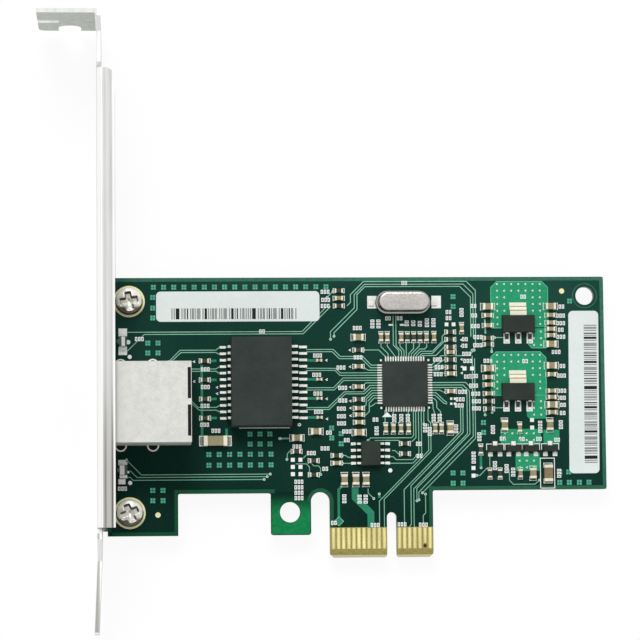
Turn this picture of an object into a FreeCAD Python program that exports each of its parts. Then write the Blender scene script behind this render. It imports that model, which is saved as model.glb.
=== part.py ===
"""Network interface card: one-lane edge connector, one network socket, full-height bracket.

Frame, in millimetres: the origin is the middle of the key notch on the connector's
lower edge, half way through the board. +X runs along the board away from the bracket,
+Y runs along the bracket towards its screw tab, and +Z is the component side's normal.
"""
import FreeCAD, Part
import math
import os

# ---------------------------------------------------------------- board
board_thickness = 1.57
board_left_x = -55.6
board_right_x = 42.6
board_top_y = 55.15
board_lower_y = 13.05
board_corner = 0.5
board_notch_corner = 0.4
foot_right_x = -41.85
foot_lower_y = 4.5
foot_gap_y = 12.7
hook_left_x = -23.7
hook_right_x = -15.85
hook_lower_y = 4.5
hook_hole_x = -19.95
hook_hole_y = 8.95
hook_hole_radius = 2.0
support_hole_x = 38.85
support_hole_y = 51.35
support_hole_radius = 1.8
small_hole_sides = 6

# ---------------------------------------------------------------- edge connector
finger_pitch = 1.0
finger_width = 0.7
finger_first_offset = 1.5
fingers_left = 11
fingers_right = 7
finger_low_y = 1.65
finger_high_y = 5.8
finger_margin = 0.3
presence_finger_setback = 1.0
plating_thickness = 0.05
key_width = 1.9
key_top_y = 8.8
slot_top_y = 12.85
edge_bevel_height = 1.6
edge_bevel_depth = 0.5
connector_corner = 0.7
key_corner = 0.35
hook_corner = 0.35

# ---------------------------------------------------------------- bracket
sheet = 0.86
bracket_outer_x = -57.45
bracket_top_y = 105.5
bracket_length = 120.02
bracket_width = 18.42
bracket_below_face = 4.11
bend_inner_radius = 0.3
tab_length = 11.43
tab_width = 19.05
tab_overhang = 3.17
tab_corner_radius = 1.8
tab_screw_x = -62.75
tab_screw_width = 4.42
tab_screw_depth = 5.5
tab_slit_width = 2.6
tab_slit_depth = 4.2
tab_slit_low = 8.2
ear_taper_rise = 2.4
ear_top_height = 9.5
inset_shoulder_drop = 1.2
tongue_width = 10.19
tongue_lean = 0.6
tongue_corner = 0.8
lower_ear_height = 1.1
lip_depth = 3.5
lip_low_y = 5.95
lip_high_y = 94.6
lip_corner_radius = 2.0
relief_width = 1.1
led_hole_radius = 2.05
led_hole_rise = 0.7
opening_side_clearance = 0.35
opening_top_clearance = 0.25
opening_board_clearance = 0.55
screw_tab_width = 7.0
screw_tab_reach = 3.5
joggle_length = 1.6
joggle_start = 1.3

# ---------------------------------------------------------------- bracket screws
screw_x = -51.3
screw_ys = (50.5, 9.0)
screw_thread_radius = 1.45
screw_hole_clearance = 0.15
thread_clearance = 0.05
screw_head_radius = 2.7
screw_head_height = 1.9
screw_head_dome = 0.7
screw_end_past_tab = 0.7
cross_width = 0.85
cross_length = 3.2
cross_depth = 1.2

# ---------------------------------------------------------------- network socket
jack_centre_y = 30.0
jack_width = 15.6
jack_height = 12.95
jack_rear_x = -39.35
jack_front_setback = 0.1
shield_wall = 0.25
shield_gap = 0.1
shield_leg_xs = (-53.0, -46.7)
shield_leg_offset = 8.0
shield_leg_width = 1.2
shield_leg_below_board = 1.0
shield_leg_hole_radius = 0.95
rear_slot_width = 0.5
rear_slot_inner = 0.6
rear_slot_outer = 6.6
plug_width = 11.8
plug_height = 6.8
plug_depth = 12.2
plug_top_rise = 11.0
latch_steps = ((6.2, 1.6), (3.6, 2.6))
contact_count = 8
contact_pitch = 1.02
contact_width = 0.45
contact_thickness = 0.3
contact_groove_clearance = 0.08
contact_front_setback = 3.0
contact_free_end_setback = 8.75
contact_free_end_drop = 2.6
contact_row_xs = (-41.3, -43.8)
contact_below_board = 1.1
contact_hole_radius = 0.45

# ---------------------------------------------------------------- status lights
led_x = -52.5
led_offset = 12.6
led_length = 2.0
led_width = 1.5
led_height = 1.1
led_end_length = 0.6
led_end_height = 0.5
led_lens_radius = 0.5

# ---------------------------------------------------------------- transformer module
transformer_x = -25.5
transformer_y = 34.4
transformer_size = (12.0, 17.6)
transformer_height = 5.4
transformer_standoff = 0.3
transformer_pin_count = 12
transformer_pitch = 1.27
transformer_lead_reach = 2.6

# ---------------------------------------------------------------- controller chip
controller_x = 2.9
controller_y = 34.0
controller_size = 9.0
controller_height = 0.9
controller_contact_count = 16
controller_pitch = 0.5
controller_contact_width = 0.28
controller_contact_reach = 0.65
controller_contact_height = 0.12
controller_draft = 0.05

# ---------------------------------------------------------------- memory chip
memory_x = -4.05
memory_y = 20.35
memory_size = (3.9, 4.9)
memory_height = 1.5
memory_standoff = 0.1
memory_pin_count = 4
memory_pitch = 1.27
memory_lead_reach = 1.05

# ---------------------------------------------------------------- crystal
crystal_x = 2.6
crystal_y = 50.0
crystal_base_size = (11.4, 4.9)
crystal_base_height = 0.5
crystal_base_corner_cut = 1.1
crystal_can_size = (10.6, 4.3)
crystal_can_height = 3.2
crystal_can_corner = 0.45
crystal_lead_width = 1.0
crystal_lead_height = 0.3
crystal_lead_reach = 1.1

# ---------------------------------------------------------------- regulators
regulator_places = ((25.5, 45.75), (25.25, 32.3))
regulator_size = (6.5, 3.5)
regulator_height = 1.55
regulator_standoff = 0.05
regulator_pitch = 2.3
regulator_tab_width = 3.0
regulator_lead_reach = 1.75

# ---------------------------------------------------------------- small transistors
transistor_y = 21.1
transistor_xs = (20.6, 24.25, 27.7, 31.5)
transistor_size = (2.9, 1.3)
transistor_height = 1.0
transistor_standoff = 0.05
transistor_pitch = 1.9
transistor_lead_reach = 0.55

# ---------------------------------------------------------------- gull-wing leads
# width, thickness, foot length and height of the lead where it leaves the body
memory_lead = (0.42, 0.2, 0.6, 0.6)
transformer_lead = (0.55, 0.25, 1.3, 1.9)
regulator_lead = (0.75, 0.25, 1.0, 0.7)
transistor_lead = (0.42, 0.12, 0.35, 0.35)
lead_shoulder_share = 0.15
moulding_draft = 0.15

# ---------------------------------------------------------------- chip capacitors and resistors
# length, width, height and length of one metal end
tiny_capacitor = (1.1, 0.5, 0.5, 0.3)
small_capacitor = (1.6, 0.8, 0.8, 0.35)
medium_capacitor = (2.0, 1.25, 0.95, 0.45)
large_capacitor = (3.2, 1.7, 1.2, 0.55)
surge_capacitor = (4.6, 1.95, 1.5, 0.75)
small_resistor = (1.6, 0.8, 0.45, 0.3)
chip_end_proud = 0.03

# Chips that lie along X: column x, then the y of each chip in it.
tiny_capacitor_columns = ((-14.0, (38.75, 35.0, 31.25, 27.5)),)
small_capacitor_columns = (
    (-10.0, (51.0,)),
    (-6.25, (37.5, 33.5, 29.25, 28.0, 26.5)),
    (-10.75, (18.5,)),
    (12.0, (40.25, 36.0, 32.5)),
    (19.5, (47.5, 45.5, 35.25, 33.75, 32.0)),
    (32.0, (47.5, 46.0, 44.75, 43.5, 35.75, 32.5, 31.25, 28.25)),
)
small_resistor_columns = (
    (-36.5, (38.75, 35.0, 31.25, 27.5)),
    (-18.6, (20.85,)),
    (-15.25, (19.0, 16.25)),
    (-10.0, (52.5, 49.5)),
    (-10.75, (20.0,)),
    (-6.25, (40.75, 31.0)),
    (2.75, (22.25, 20.25)),
    (12.0, (44.25, 42.75, 41.25, 38.75, 37.25)),
    (19.5, (43.0, 41.75, 30.5, 29.0)),
)
medium_capacitor_columns = (
    (-18.5, (23.5,)),
    (-14.75, (24.75,)),
    (-6.25, (43.25, 24.5)),
    (19.5, (49.25, 37.0)),
    (32.0, (49.25, 41.75, 37.5, 29.75)),
)
# Chips that lie along Y: row y, then the x of each chip in it.
small_capacitor_rows = (
    (45.0, (14.25,)),
    (43.25, (-1.75, -0.5, 2.25, 7.25, 8.75)),
    (25.25, (-1.0, 0.5, 2.0, 3.5, 8.75, 10.0, 25.5)),
    (16.25, (25.5,)),
)
small_resistor_rows = (
    (43.25, (3.5, 4.75, 6.0)),
    (21.0, (17.75,)),
    (16.25, (19.5, 21.5)),
)
medium_capacitor_rows = (
    (25.75, (22.5, 31.5)),
    (25.25, (11.75,)),
    (15.25, (-9.25, -7.0, -5.0)),
    (16.25, (28.0,)),
)
large_capacitor_rows = ((16.25, (31.0,)),)
surge_capacitor_columns = ((-34.5, (23.0,)),)

# ---------------------------------------------------------------- labels
label_length = 32.2
label_width = 6.0
label_corner_cut = 0.5
label_thickness = 0.1
address_label_x = -29.9
address_label_y = 49.45
serial_label_x = 38.4
serial_label_y = 32.25

# ---------------------------------------------------------------- derived places
V = FreeCAD.Vector
board_face = board_thickness / 2
board_back = -board_thickness / 2
key_half = key_width / 2
connector_left_x = -(finger_first_offset + (fingers_left - 1) * finger_pitch
                     + finger_width / 2 + finger_margin)
connector_right_x = (finger_first_offset + (fingers_right - 1) * finger_pitch
                     + finger_width / 2 + finger_margin)
bracket_inner_x = bracket_outer_x + sheet
bracket_tip_y = bracket_top_y - bracket_length
bend_outer_radius = bend_inner_radius + sheet
plate_low_z = board_face - bracket_below_face
plate_high_z = plate_low_z + bracket_width
tab_high_z = plate_high_z + tab_overhang
tab_low_z = tab_high_z - tab_width
tab_end_x = bracket_outer_x - tab_length
tab_under_y = bracket_top_y - sheet
tongue_low_z = (plate_low_z + plate_high_z - tongue_width) / 2
tongue_high_z = tongue_low_z + tongue_width
lip_edge_x = bracket_outer_x + lip_depth
lower_ear_y = lip_low_y - relief_width - lower_ear_height
tongue_root_y = lower_ear_y - (plate_high_z - tongue_high_z)
jack_front_x = bracket_outer_x + jack_front_setback
jack_half = jack_width / 2
jack_top_z = board_face + jack_height
plug_top_z = board_face + plug_top_rise
plug_floor_z = plug_top_z - plug_height
contact_front_x = jack_front_x + contact_front_setback
contact_free_end_x = jack_front_x + contact_free_end_setback
contact_roof_z = plug_top_z + contact_thickness
screw_tab_top_z = board_back
screw_tab_low_z = board_back - sheet


# ---------------------------------------------------------------- shape helpers
def block(low, high):
    """Box between two opposite corners."""
    size = [b - a for a, b in zip(low, high)]
    return Part.makeBox(size[0], size[1], size[2], V(*low))


def centred_block(centre_x, centre_y, size_x, size_y, low_z, high_z):
    """Box about a point of the board, between two heights."""
    return block((centre_x - size_x / 2, centre_y - size_y / 2, low_z),
                 (centre_x + size_x / 2, centre_y + size_y / 2, high_z))


def post(x, y, radius, low_z, high_z):
    """Upright cylinder."""
    return Part.makeCylinder(radius, high_z - low_z, V(x, y, low_z))


def small_hole(x, y, radius):
    """Cutter for a narrow plated hole through the board, drawn with few sides."""
    points = []
    for i in range(small_hole_sides + 1):
        angle = 2 * math.pi * i / small_hole_sides
        points.append(V(x + radius * math.cos(angle), y + radius * math.sin(angle), board_back))
    return Part.Face(Part.makePolygon(points)).extrude(V(0, 0, board_thickness))


def corner_arc(before, corner, after, radius):
    """Start, middle and end of the arc that rounds one corner of an outline."""
    to_before = (before - corner).normalize()
    to_after = (after - corner).normalize()
    half_angle = to_before.getAngle(to_after) / 2
    bisector = (to_before + to_after).normalize()
    reach = radius / math.tan(half_angle)
    middle = corner + bisector * (radius / math.sin(half_angle) - radius)
    return corner + to_before * reach, middle, corner + to_after * reach


def outline(corners):
    """Flat face from (point, corner radius) pairs."""
    count = len(corners)
    bends = []
    for i, (corner, radius) in enumerate(corners):
        if radius:
            before = corners[i - 1][0]
            after = corners[(i + 1) % count][0]
            bends.append(corner_arc(before, corner, after, radius))
        else:
            bends.append((corner, None, corner))
    edges = []
    for i, (start, middle, end) in enumerate(bends):
        if middle:
            edges.append(Part.Arc(start, middle, end).toShape())
        following = bends[(i + 1) % count][0]
        if end.distanceToPoint(following) > 1e-6:
            edges.append(Part.LineSegment(end, following).toShape())
    return Part.Face(Part.Wire(edges))


def plate_xy(corners, low_z, high_z):
    """Plate with an outline of (x, y, radius) corners, between two heights."""
    face = outline([(V(x, y, low_z), r) for x, y, r in corners])
    return face.extrude(V(0, 0, high_z - low_z))


def plate_yz(corners, low_x, high_x):
    """Plate with an outline of (y, z, radius) corners, between two x."""
    face = outline([(V(low_x, y, z), r) for y, z, r in corners])
    return face.extrude(V(high_x - low_x, 0, 0))


def plate_xz(corners, low_y, high_y):
    """Plate with an outline of (x, z, radius) corners, between two y."""
    face = outline([(V(x, low_y, z), r) for x, z, r in corners])
    return face.extrude(V(0, high_y - low_y, 0))


def rounded_rectangle(centre_x, centre_y, size_x, size_y, radius):
    """Corners of a rectangle with one corner radius."""
    low_x = centre_x - size_x / 2
    high_x = centre_x + size_x / 2
    low_y = centre_y - size_y / 2
    high_y = centre_y + size_y / 2
    return ((low_x, low_y, radius), (high_x, low_y, radius),
            (high_x, high_y, radius), (low_x, high_y, radius))


def cut_rectangle(centre_x, centre_y, size_x, size_y, cut):
    """Corners of a rectangle whose own corners are cut off at 45 degrees."""
    low_x = centre_x - size_x / 2
    high_x = centre_x + size_x / 2
    low_y = centre_y - size_y / 2
    high_y = centre_y + size_y / 2
    return ((low_x, low_y + cut, 0), (low_x + cut, low_y, 0),
            (high_x - cut, low_y, 0), (high_x, low_y + cut, 0),
            (high_x, high_y - cut, 0), (high_x - cut, high_y, 0),
            (low_x + cut, high_y, 0), (low_x, high_y - cut, 0))


def joined(shapes):
    """One solid from shapes that touch."""
    return shapes[0].multiFuse(shapes[1:]).removeSplitter()


def spread(count, pitch):
    """Evenly spaced offsets about zero."""
    return [(i - (count - 1) / 2) * pitch for i in range(count)]


def turned(shape, x, y, quarter_turns):
    """Copy of a shape built about the Z axis, turned and moved to its place."""
    placed = shape.copy()
    placed.rotate(V(0, 0, 0), V(0, 0, 1), 90 * quarter_turns)
    placed.translate(V(x, y, 0))
    return placed


# ---------------------------------------------------------------- board
def board_outline():
    slot_radius = (connector_left_x - hook_right_x) / 2
    return (
        (board_left_x, foot_lower_y, 0),
        (board_left_x, board_top_y, board_corner),
        (board_right_x, board_top_y, board_corner),
        (board_right_x, board_lower_y, board_corner),
        (connector_right_x, board_lower_y, board_notch_corner),
        (connector_right_x, connector_corner, 0),
        (connector_right_x - connector_corner, 0, 0),
        (key_half + key_corner, 0, 0),
        (key_half, key_corner, 0),
        (key_half, key_top_y, key_half),
        (-key_half, key_top_y, key_half),
        (-key_half, key_corner, 0),
        (-key_half - key_corner, 0, 0),
        (connector_left_x + connector_corner, 0, 0),
        (connector_left_x, connector_corner, 0),
        (connector_left_x, slot_top_y, slot_radius),
        (hook_right_x, slot_top_y, slot_radius),
        (hook_right_x, hook_lower_y + hook_corner, 0),
        (hook_right_x - hook_corner, hook_lower_y, 0),
        (hook_left_x + hook_corner, hook_lower_y, 0),
        (hook_left_x, hook_lower_y + hook_corner, 0),
        (hook_left_x, foot_gap_y, board_notch_corner),
        (foot_right_x, foot_gap_y, board_notch_corner),
        (foot_right_x, foot_lower_y, 0),
    )


def edge_bevel(side):
    """Wedge that bevels the connector's lower edge on one side of the board."""
    face_z = side * board_face
    section = ((0, face_z), (edge_bevel_height, face_z), (0, face_z - side * edge_bevel_depth))
    points = [V(connector_left_x, y, z) for y, z in section]
    face = Part.Face(Part.makePolygon(points + points[:1]))
    return face.extrude(V(connector_right_x - connector_left_x, 0, 0))


def contact_place(index):
    """Offset across the socket of one contact, and the x of the row that it drops to."""
    return spread(contact_count, contact_pitch)[index], contact_row_xs[index % 2]


def circuit_board():
    board = plate_xy(board_outline(), board_back, board_face)
    cutters = [edge_bevel(1), edge_bevel(-1)]
    cutters.append(post(hook_hole_x, hook_hole_y, hook_hole_radius, board_back, board_face))
    cutters.append(post(support_hole_x, support_hole_y, support_hole_radius,
                        board_back, board_face))
    for y in screw_ys:
        radius = screw_thread_radius + screw_hole_clearance
        cutters.append(post(screw_x, y, radius, board_back, board_face))
    for x in shield_leg_xs:
        for side in (-1, 1):
            y = jack_centre_y + side * shield_leg_offset
            cutters.append(small_hole(x, y, shield_leg_hole_radius))
    for index in range(contact_count):
        offset, x = contact_place(index)
        cutters.append(small_hole(x, jack_centre_y + offset, contact_hole_radius))
    return board.cut(cutters)


def edge_contacts(side):
    """Gold-plated contacts on one face of the connector; the presence contact is short."""
    low_z, high_z = sorted((side * board_face, side * (board_face + plating_thickness)))
    left_xs = [-finger_first_offset - i * finger_pitch for i in range(fingers_left)]
    right_xs = [finger_first_offset + i * finger_pitch for i in range(fingers_right)]
    presence_x = right_xs[-2] if side > 0 else left_xs[-1]
    half = finger_width / 2
    contacts = []
    for x in left_xs + right_xs:
        low_y = finger_low_y
        if x == presence_x:
            low_y += presence_finger_setback
        contacts.append(block((x - half, low_y, low_z), (x + half, finger_high_y, high_z)))
    return contacts


# ---------------------------------------------------------------- bracket
def bracket_section():
    """Sheet seen along Z: tab, bend, plate and the tongue, which leans outwards."""
    corners = (
        (tab_end_x, bracket_top_y, 0),
        (bracket_inner_x, bracket_top_y, bend_outer_radius),
        (bracket_inner_x, tongue_root_y, 0),
        (bracket_inner_x - tongue_lean, bracket_tip_y, 0),
        (bracket_outer_x - tongue_lean, bracket_tip_y, 0),
        (bracket_outer_x, tongue_root_y, 0),
        (bracket_outer_x, tab_under_y, bend_inner_radius),
        (tab_end_x, tab_under_y, 0),
    )
    return plate_xy(corners, plate_low_z, tab_high_z)


def bracket_blank():
    """Outline of the flat sheet, seen along X, swept through the tab's whole reach."""
    ear_end_y = lip_high_y + ear_top_height - ear_taper_rise
    shoulder_y = tab_under_y - inset_shoulder_drop
    inset = tab_low_z - plate_low_z
    above = bracket_top_y + sheet
    corners = (
        (bracket_tip_y, tongue_low_z, tongue_corner),
        (bracket_tip_y, tongue_high_z, tongue_corner),
        (tongue_root_y, tongue_high_z, 0),
        (lower_ear_y, plate_high_z, 0),
        (lip_low_y - relief_width, plate_high_z, 0),
        (lip_low_y, plate_high_z - bend_outer_radius, 0),
        (lip_high_y, plate_high_z - bend_outer_radius, 0),
        (lip_high_y + relief_width, plate_high_z, 0),
        (ear_end_y, plate_high_z, 0),
        (ear_end_y + ear_taper_rise, tab_high_z, 0),
        (above, tab_high_z, 0),
        (above, tab_low_z, 0),
        (shoulder_y, tab_low_z, 0),
        (shoulder_y - inset, plate_low_z, 0),
        (lip_high_y + relief_width, plate_low_z, 0),
        (lip_high_y, plate_low_z + bend_outer_radius, 0),
        (lip_low_y, plate_low_z + bend_outer_radius, 0),
        (lip_low_y - relief_width, plate_low_z, 0),
        (lower_ear_y, plate_low_z, 0),
        (tongue_root_y, tongue_low_z, 0),
    )
    return plate_yz(corners, tab_end_x - sheet, bracket_inner_x + sheet)


def bracket_channel():
    """Plate between the ears, with a lip folded inwards along each long edge."""
    inner_low = plate_low_z + sheet
    inner_high = plate_high_z - sheet
    section = plate_xz((
        (bracket_outer_x, plate_low_z, bend_outer_radius),
        (bracket_outer_x, plate_high_z, bend_outer_radius),
        (lip_edge_x, plate_high_z, 0),
        (lip_edge_x, inner_high, 0),
        (bracket_inner_x, inner_high, bend_inner_radius),
        (bracket_inner_x, inner_low, bend_inner_radius),
        (lip_edge_x, inner_low, 0),
        (lip_edge_x, plate_low_z, 0),
    ), lip_low_y, lip_high_y)
    ends = plate_xy((
        (bracket_outer_x - sheet, lip_low_y, 0),
        (lip_edge_x, lip_low_y, 0),
        (lip_edge_x, lip_high_y, lip_corner_radius),
        (bracket_outer_x - sheet, lip_high_y, 0),
    ), plate_low_z, plate_high_z)
    return section.common(ends)


def screw_tab(y):
    """Tab that runs from the lower lip up to the board's back, where a screw holds it."""
    root_x = bracket_inner_x
    joggle_x = bracket_inner_x + joggle_start
    flat_x = joggle_x + joggle_length
    end_x = screw_x + screw_tab_reach
    lip_top_z = plate_low_z + sheet
    section = (
        (root_x, plate_low_z, 0),
        (joggle_x + sheet / 2, plate_low_z, 0),
        (flat_x + sheet / 2, screw_tab_low_z, 0),
        (end_x, screw_tab_low_z, 0),
        (end_x, screw_tab_top_z, 0),
        (flat_x, screw_tab_top_z, 0),
        (joggle_x, lip_top_z, 0),
        (root_x, lip_top_z, 0),
    )
    return plate_xz(section, y - screw_tab_width / 2, y + screw_tab_width / 2)


def tab_cutters():
    """Screw notch, end slit and rounded corner of the bracket's screw tab."""
    low_y = tab_under_y - sheet
    high_y = bracket_top_y + sheet
    half = tab_screw_width / 2
    notch_top_z = tab_low_z + tab_screw_depth
    notch = plate_xz((
        (tab_screw_x - half, tab_low_z - sheet, 0),
        (tab_screw_x + half, tab_low_z - sheet, 0),
        (tab_screw_x + half, notch_top_z, half),
        (tab_screw_x - half, notch_top_z, half),
    ), low_y, high_y)
    slit_low_z = tab_low_z + tab_slit_low
    slit = block((tab_end_x - sheet, low_y, slit_low_z),
                 (tab_end_x + tab_slit_depth, high_y, slit_low_z + tab_slit_width))
    radius = tab_corner_radius
    corner = block((tab_end_x - sheet, low_y, tab_low_z - sheet),
                   (tab_end_x + radius, high_y, tab_low_z + radius))
    roller = Part.makeCylinder(radius, high_y - low_y,
                               V(tab_end_x + radius, low_y, tab_low_z + radius), V(0, 1, 0))
    return [notch, slit, corner.cut(roller)]


def plate_cutters():
    """Socket opening and the two light holes in the bracket's plate."""
    reach = 2 * sheet
    low_x = bracket_outer_x - sheet
    half = jack_half + opening_side_clearance
    opening = block((low_x, jack_centre_y - half, board_face - opening_board_clearance),
                    (low_x + sheet + reach, jack_centre_y + half,
                     jack_top_z + opening_top_clearance))
    holes = [Part.makeCylinder(led_hole_radius, sheet + reach,
                               V(low_x, jack_centre_y + side * led_offset,
                                 board_face + led_hole_rise), V(1, 0, 0))
             for side in (-1, 1)]
    return [opening] + holes


def mounting_bracket():
    flat = bracket_section().common(bracket_blank())
    bracket = joined([flat, bracket_channel()] + [screw_tab(y) for y in screw_ys])
    cutters = tab_cutters() + plate_cutters()
    for y in screw_ys:
        cutters.append(post(screw_x, y, screw_thread_radius + thread_clearance,
                            screw_tab_low_z, screw_tab_top_z))
    return bracket.cut(cutters)


# ---------------------------------------------------------------- bracket screws
def bracket_screw(y):
    """Pan-head screw with a cross recess, seated on the board's face."""
    top_z = board_face + screw_head_height
    end_z = screw_tab_low_z - screw_end_past_tab
    rim_z = top_z - screw_head_dome
    crown_radius = screw_head_radius - screw_head_dome
    profile = ((0, end_z), (screw_thread_radius, end_z), (screw_thread_radius, board_face),
               (screw_head_radius, board_face), (screw_head_radius, rim_z),
               (crown_radius, top_z), (0, top_z), (0, end_z))
    wire = Part.makePolygon([V(r, 0, z) for r, z in profile])
    screw = Part.Face(wire).revolve(V(0, 0, 0), V(0, 0, 1), 360)
    bar = centred_block(0, 0, cross_length, cross_width, top_z - cross_depth, top_z)
    cross = bar.fuse(turned(bar, 0, 0, 1))
    return turned(screw.cut(cross), screw_x, y, 0)


# ---------------------------------------------------------------- network socket
def jack_shield():
    """Folded cover of the socket: open below and in front, with solder legs."""
    low = (jack_front_x, jack_centre_y - jack_half, board_face)
    high = (jack_rear_x, jack_centre_y + jack_half, jack_top_z)
    inside = block((low[0] - shield_wall, low[1] + shield_wall, low[2] - shield_wall),
                   (high[0] - shield_wall, high[1] - shield_wall, high[2] - shield_wall))
    shell = block(low, high).cut(inside)
    slots = []
    for side in (-1, 1):
        near, far = sorted((jack_centre_y + side * rear_slot_inner,
                            jack_centre_y + side * rear_slot_outer))
        slot_end_x = jack_rear_x - shield_wall
        slots.append(block((slot_end_x - rear_slot_width, near, jack_top_z - shield_wall),
                           (slot_end_x, far, jack_top_z)))
    legs = []
    for x in shield_leg_xs:
        for side in (-1, 1):
            wall_y = jack_centre_y + side * (jack_half - shield_wall / 2)
            legs.append(centred_block(x, wall_y, shield_leg_width, shield_wall,
                                      board_back - shield_leg_below_board, board_face))
    return joined([shell.cut(slots)] + legs)


def jack_contact(index):
    """Spring contact: free end, roof run and the drop through the board."""
    offset, row_x = contact_place(index)
    end_z = plug_top_z - contact_free_end_drop
    drop_end_z = board_back - contact_below_board
    half_thickness = contact_thickness / 2
    section = (
        (contact_free_end_x, end_z, 0),
        (contact_front_x, plug_top_z, 0),
        (contact_front_x, contact_roof_z + contact_thickness, 0),
        (row_x + half_thickness, contact_roof_z + contact_thickness, 0),
        (row_x + half_thickness, drop_end_z, 0),
        (row_x - half_thickness, drop_end_z, 0),
        (row_x - half_thickness, contact_roof_z, 0),
        (contact_front_x + contact_thickness, contact_roof_z, 0),
        (contact_free_end_x, end_z + contact_thickness, 0),
    )
    y = jack_centre_y + offset
    return plate_xz(section, y - contact_width / 2, y + contact_width / 2)


def contact_groove(index):
    """Roof groove and drop channel that hold one contact in the housing."""
    offset, row_x = contact_place(index)
    y = jack_centre_y + offset
    half = contact_width / 2 + contact_groove_clearance
    reach = contact_thickness / 2 + contact_groove_clearance
    top_z = contact_roof_z + contact_thickness + contact_groove_clearance
    roof = block((contact_front_x - contact_groove_clearance, y - half, plug_top_z),
                 (row_x + reach, y + half, top_z))
    drop = block((row_x - reach, y - half, board_face), (row_x + reach, y + half, top_z))
    return roof.fuse(drop)


def jack_housing():
    """Insulating block with the plug cavity, its latch way and the contact grooves."""
    gap = shield_wall + shield_gap
    body = block((jack_front_x + shield_gap, jack_centre_y - jack_half + gap, board_face),
                 (jack_rear_x - gap, jack_centre_y + jack_half - gap, jack_top_z - gap))
    cavity_end_x = jack_front_x + plug_depth
    cutters = [block((jack_front_x, jack_centre_y - plug_width / 2, plug_floor_z),
                     (cavity_end_x, jack_centre_y + plug_width / 2, plug_top_z))]
    for width, drop in latch_steps:
        cutters.append(block((jack_front_x, jack_centre_y - width / 2, plug_floor_z - drop),
                             (cavity_end_x, jack_centre_y + width / 2, plug_floor_z)))
    for index in range(contact_count):
        cutters.append(contact_groove(index))
    return body.cut(cutters)


# ---------------------------------------------------------------- status lights
def led_centres():
    return [(led_x, jack_centre_y + side * led_offset) for side in (1, -1)]


def status_led_bodies():
    return [centred_block(x, y, led_width, led_length, board_face, board_face + led_height)
            for x, y in led_centres()]


def status_led_lenses():
    """Half-round lens on the side of each light that faces the bracket."""
    lenses = []
    for x, y in led_centres():
        face_x = x - led_width / 2
        rod = post(face_x, y, led_lens_radius, board_face, board_face + led_height)
        outside = block((face_x - led_width, y - led_length, board_face),
                        (face_x, y + led_length, board_face + led_height))
        lenses.append(rod.common(outside))
    return lenses


def status_led_ends():
    ends = []
    for x, y in led_centres():
        for side in (-1, 1):
            centre_y = y + side * (led_length + led_end_length) / 2
            ends.append(centred_block(x, centre_y, led_width, led_end_length,
                                      board_face, board_face + led_end_height))
    return ends


# ---------------------------------------------------------------- packaged chips
def gull_lead(reach, lead):
    """Lead that leaves a body at x = 0 and comes down to the board at x = reach."""
    width, thickness, foot, rise = lead
    shoulder = reach * lead_shoulder_share
    heel = reach - foot
    section = (
        (0, board_face + rise, 0),
        (shoulder, board_face + rise, 0),
        (heel, board_face, 0),
        (reach, board_face, 0),
        (reach, board_face + thickness, 0),
        (heel + thickness / 2, board_face + thickness, 0),
        (shoulder + thickness / 2, board_face + rise + thickness, 0),
        (0, board_face + rise + thickness, 0),
    )
    return plate_xz(section, -width / 2, width / 2)


def lead_row(centre_x, centre_y, half_body, reach, lead, offsets, quarter_turns):
    """Leads along one side of a body: side 0 faces +X, and each turn is a quarter."""
    one = gull_lead(reach, lead)
    one.translate(V(half_body, 0, 0))
    leads = []
    for offset in offsets:
        shifted = one.copy()
        shifted.translate(V(0, offset, 0))
        leads.append(turned(shifted, centre_x, centre_y, quarter_turns))
    return leads


def package(centre_x, centre_y, size, standoff, belt, height, draft):
    """Moulded body: straight up to its belt, then narrowing towards the top."""
    corners = ((-1, -1), (1, -1), (1, 1), (-1, 1), (-1, -1))
    belt_z = board_face + belt

    def ring(inset, z):
        half_x = size[0] / 2 - inset
        half_y = size[1] / 2 - inset
        return Part.makePolygon([V(centre_x + sx * half_x, centre_y + sy * half_y, z)
                                 for sx, sy in corners])

    lower = centred_block(centre_x, centre_y, size[0], size[1], board_face + standoff, belt_z)
    upper = Part.makeLoft([ring(0, belt_z), ring(draft, board_face + height)], True, True)
    return lower.fuse(upper)


def lead_belt(lead):
    """Height above the board of a lead's upper face where it enters the body."""
    width, thickness, foot, rise = lead
    return rise + thickness


def transformer_body():
    return package(transformer_x, transformer_y, transformer_size, transformer_standoff,
                   lead_belt(transformer_lead), transformer_height, moulding_draft)


def transformer_leads():
    offsets = spread(transformer_pin_count, transformer_pitch)
    leads = []
    for quarter_turns in (0, 2):
        leads += lead_row(transformer_x, transformer_y, transformer_size[0] / 2,
                          transformer_lead_reach, transformer_lead, offsets, quarter_turns)
    return leads


def controller_body():
    size = (controller_size, controller_size)
    return package(controller_x, controller_y, size, 0, controller_contact_height,
                   controller_height, controller_draft)


def controller_contacts():
    """Soldered lands that show outside the four sides of the controller."""
    contacts = []
    reach = controller_contact_reach
    centre = (controller_size + reach) / 2
    for offset in spread(controller_contact_count, controller_pitch):
        one = centred_block(centre, offset, reach, controller_contact_width,
                            board_face, board_face + controller_contact_height)
        for quarter_turns in range(4):
            contacts.append(turned(one, controller_x, controller_y, quarter_turns))
    return contacts


def memory_chip_body():
    return package(memory_x, memory_y, memory_size, memory_standoff,
                   lead_belt(memory_lead), memory_height, moulding_draft)


def memory_chip_leads():
    leads = []
    for quarter_turns in (0, 2):
        leads += lead_row(memory_x, memory_y, memory_size[0] / 2, memory_lead_reach,
                          memory_lead, spread(memory_pin_count, memory_pitch), quarter_turns)
    return leads


# ---------------------------------------------------------------- crystal
def crystal_base():
    corners = cut_rectangle(crystal_x, crystal_y, crystal_base_size[0],
                            crystal_base_size[1], crystal_base_corner_cut)
    return plate_xy(corners, board_face, board_face + crystal_base_height)


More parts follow.
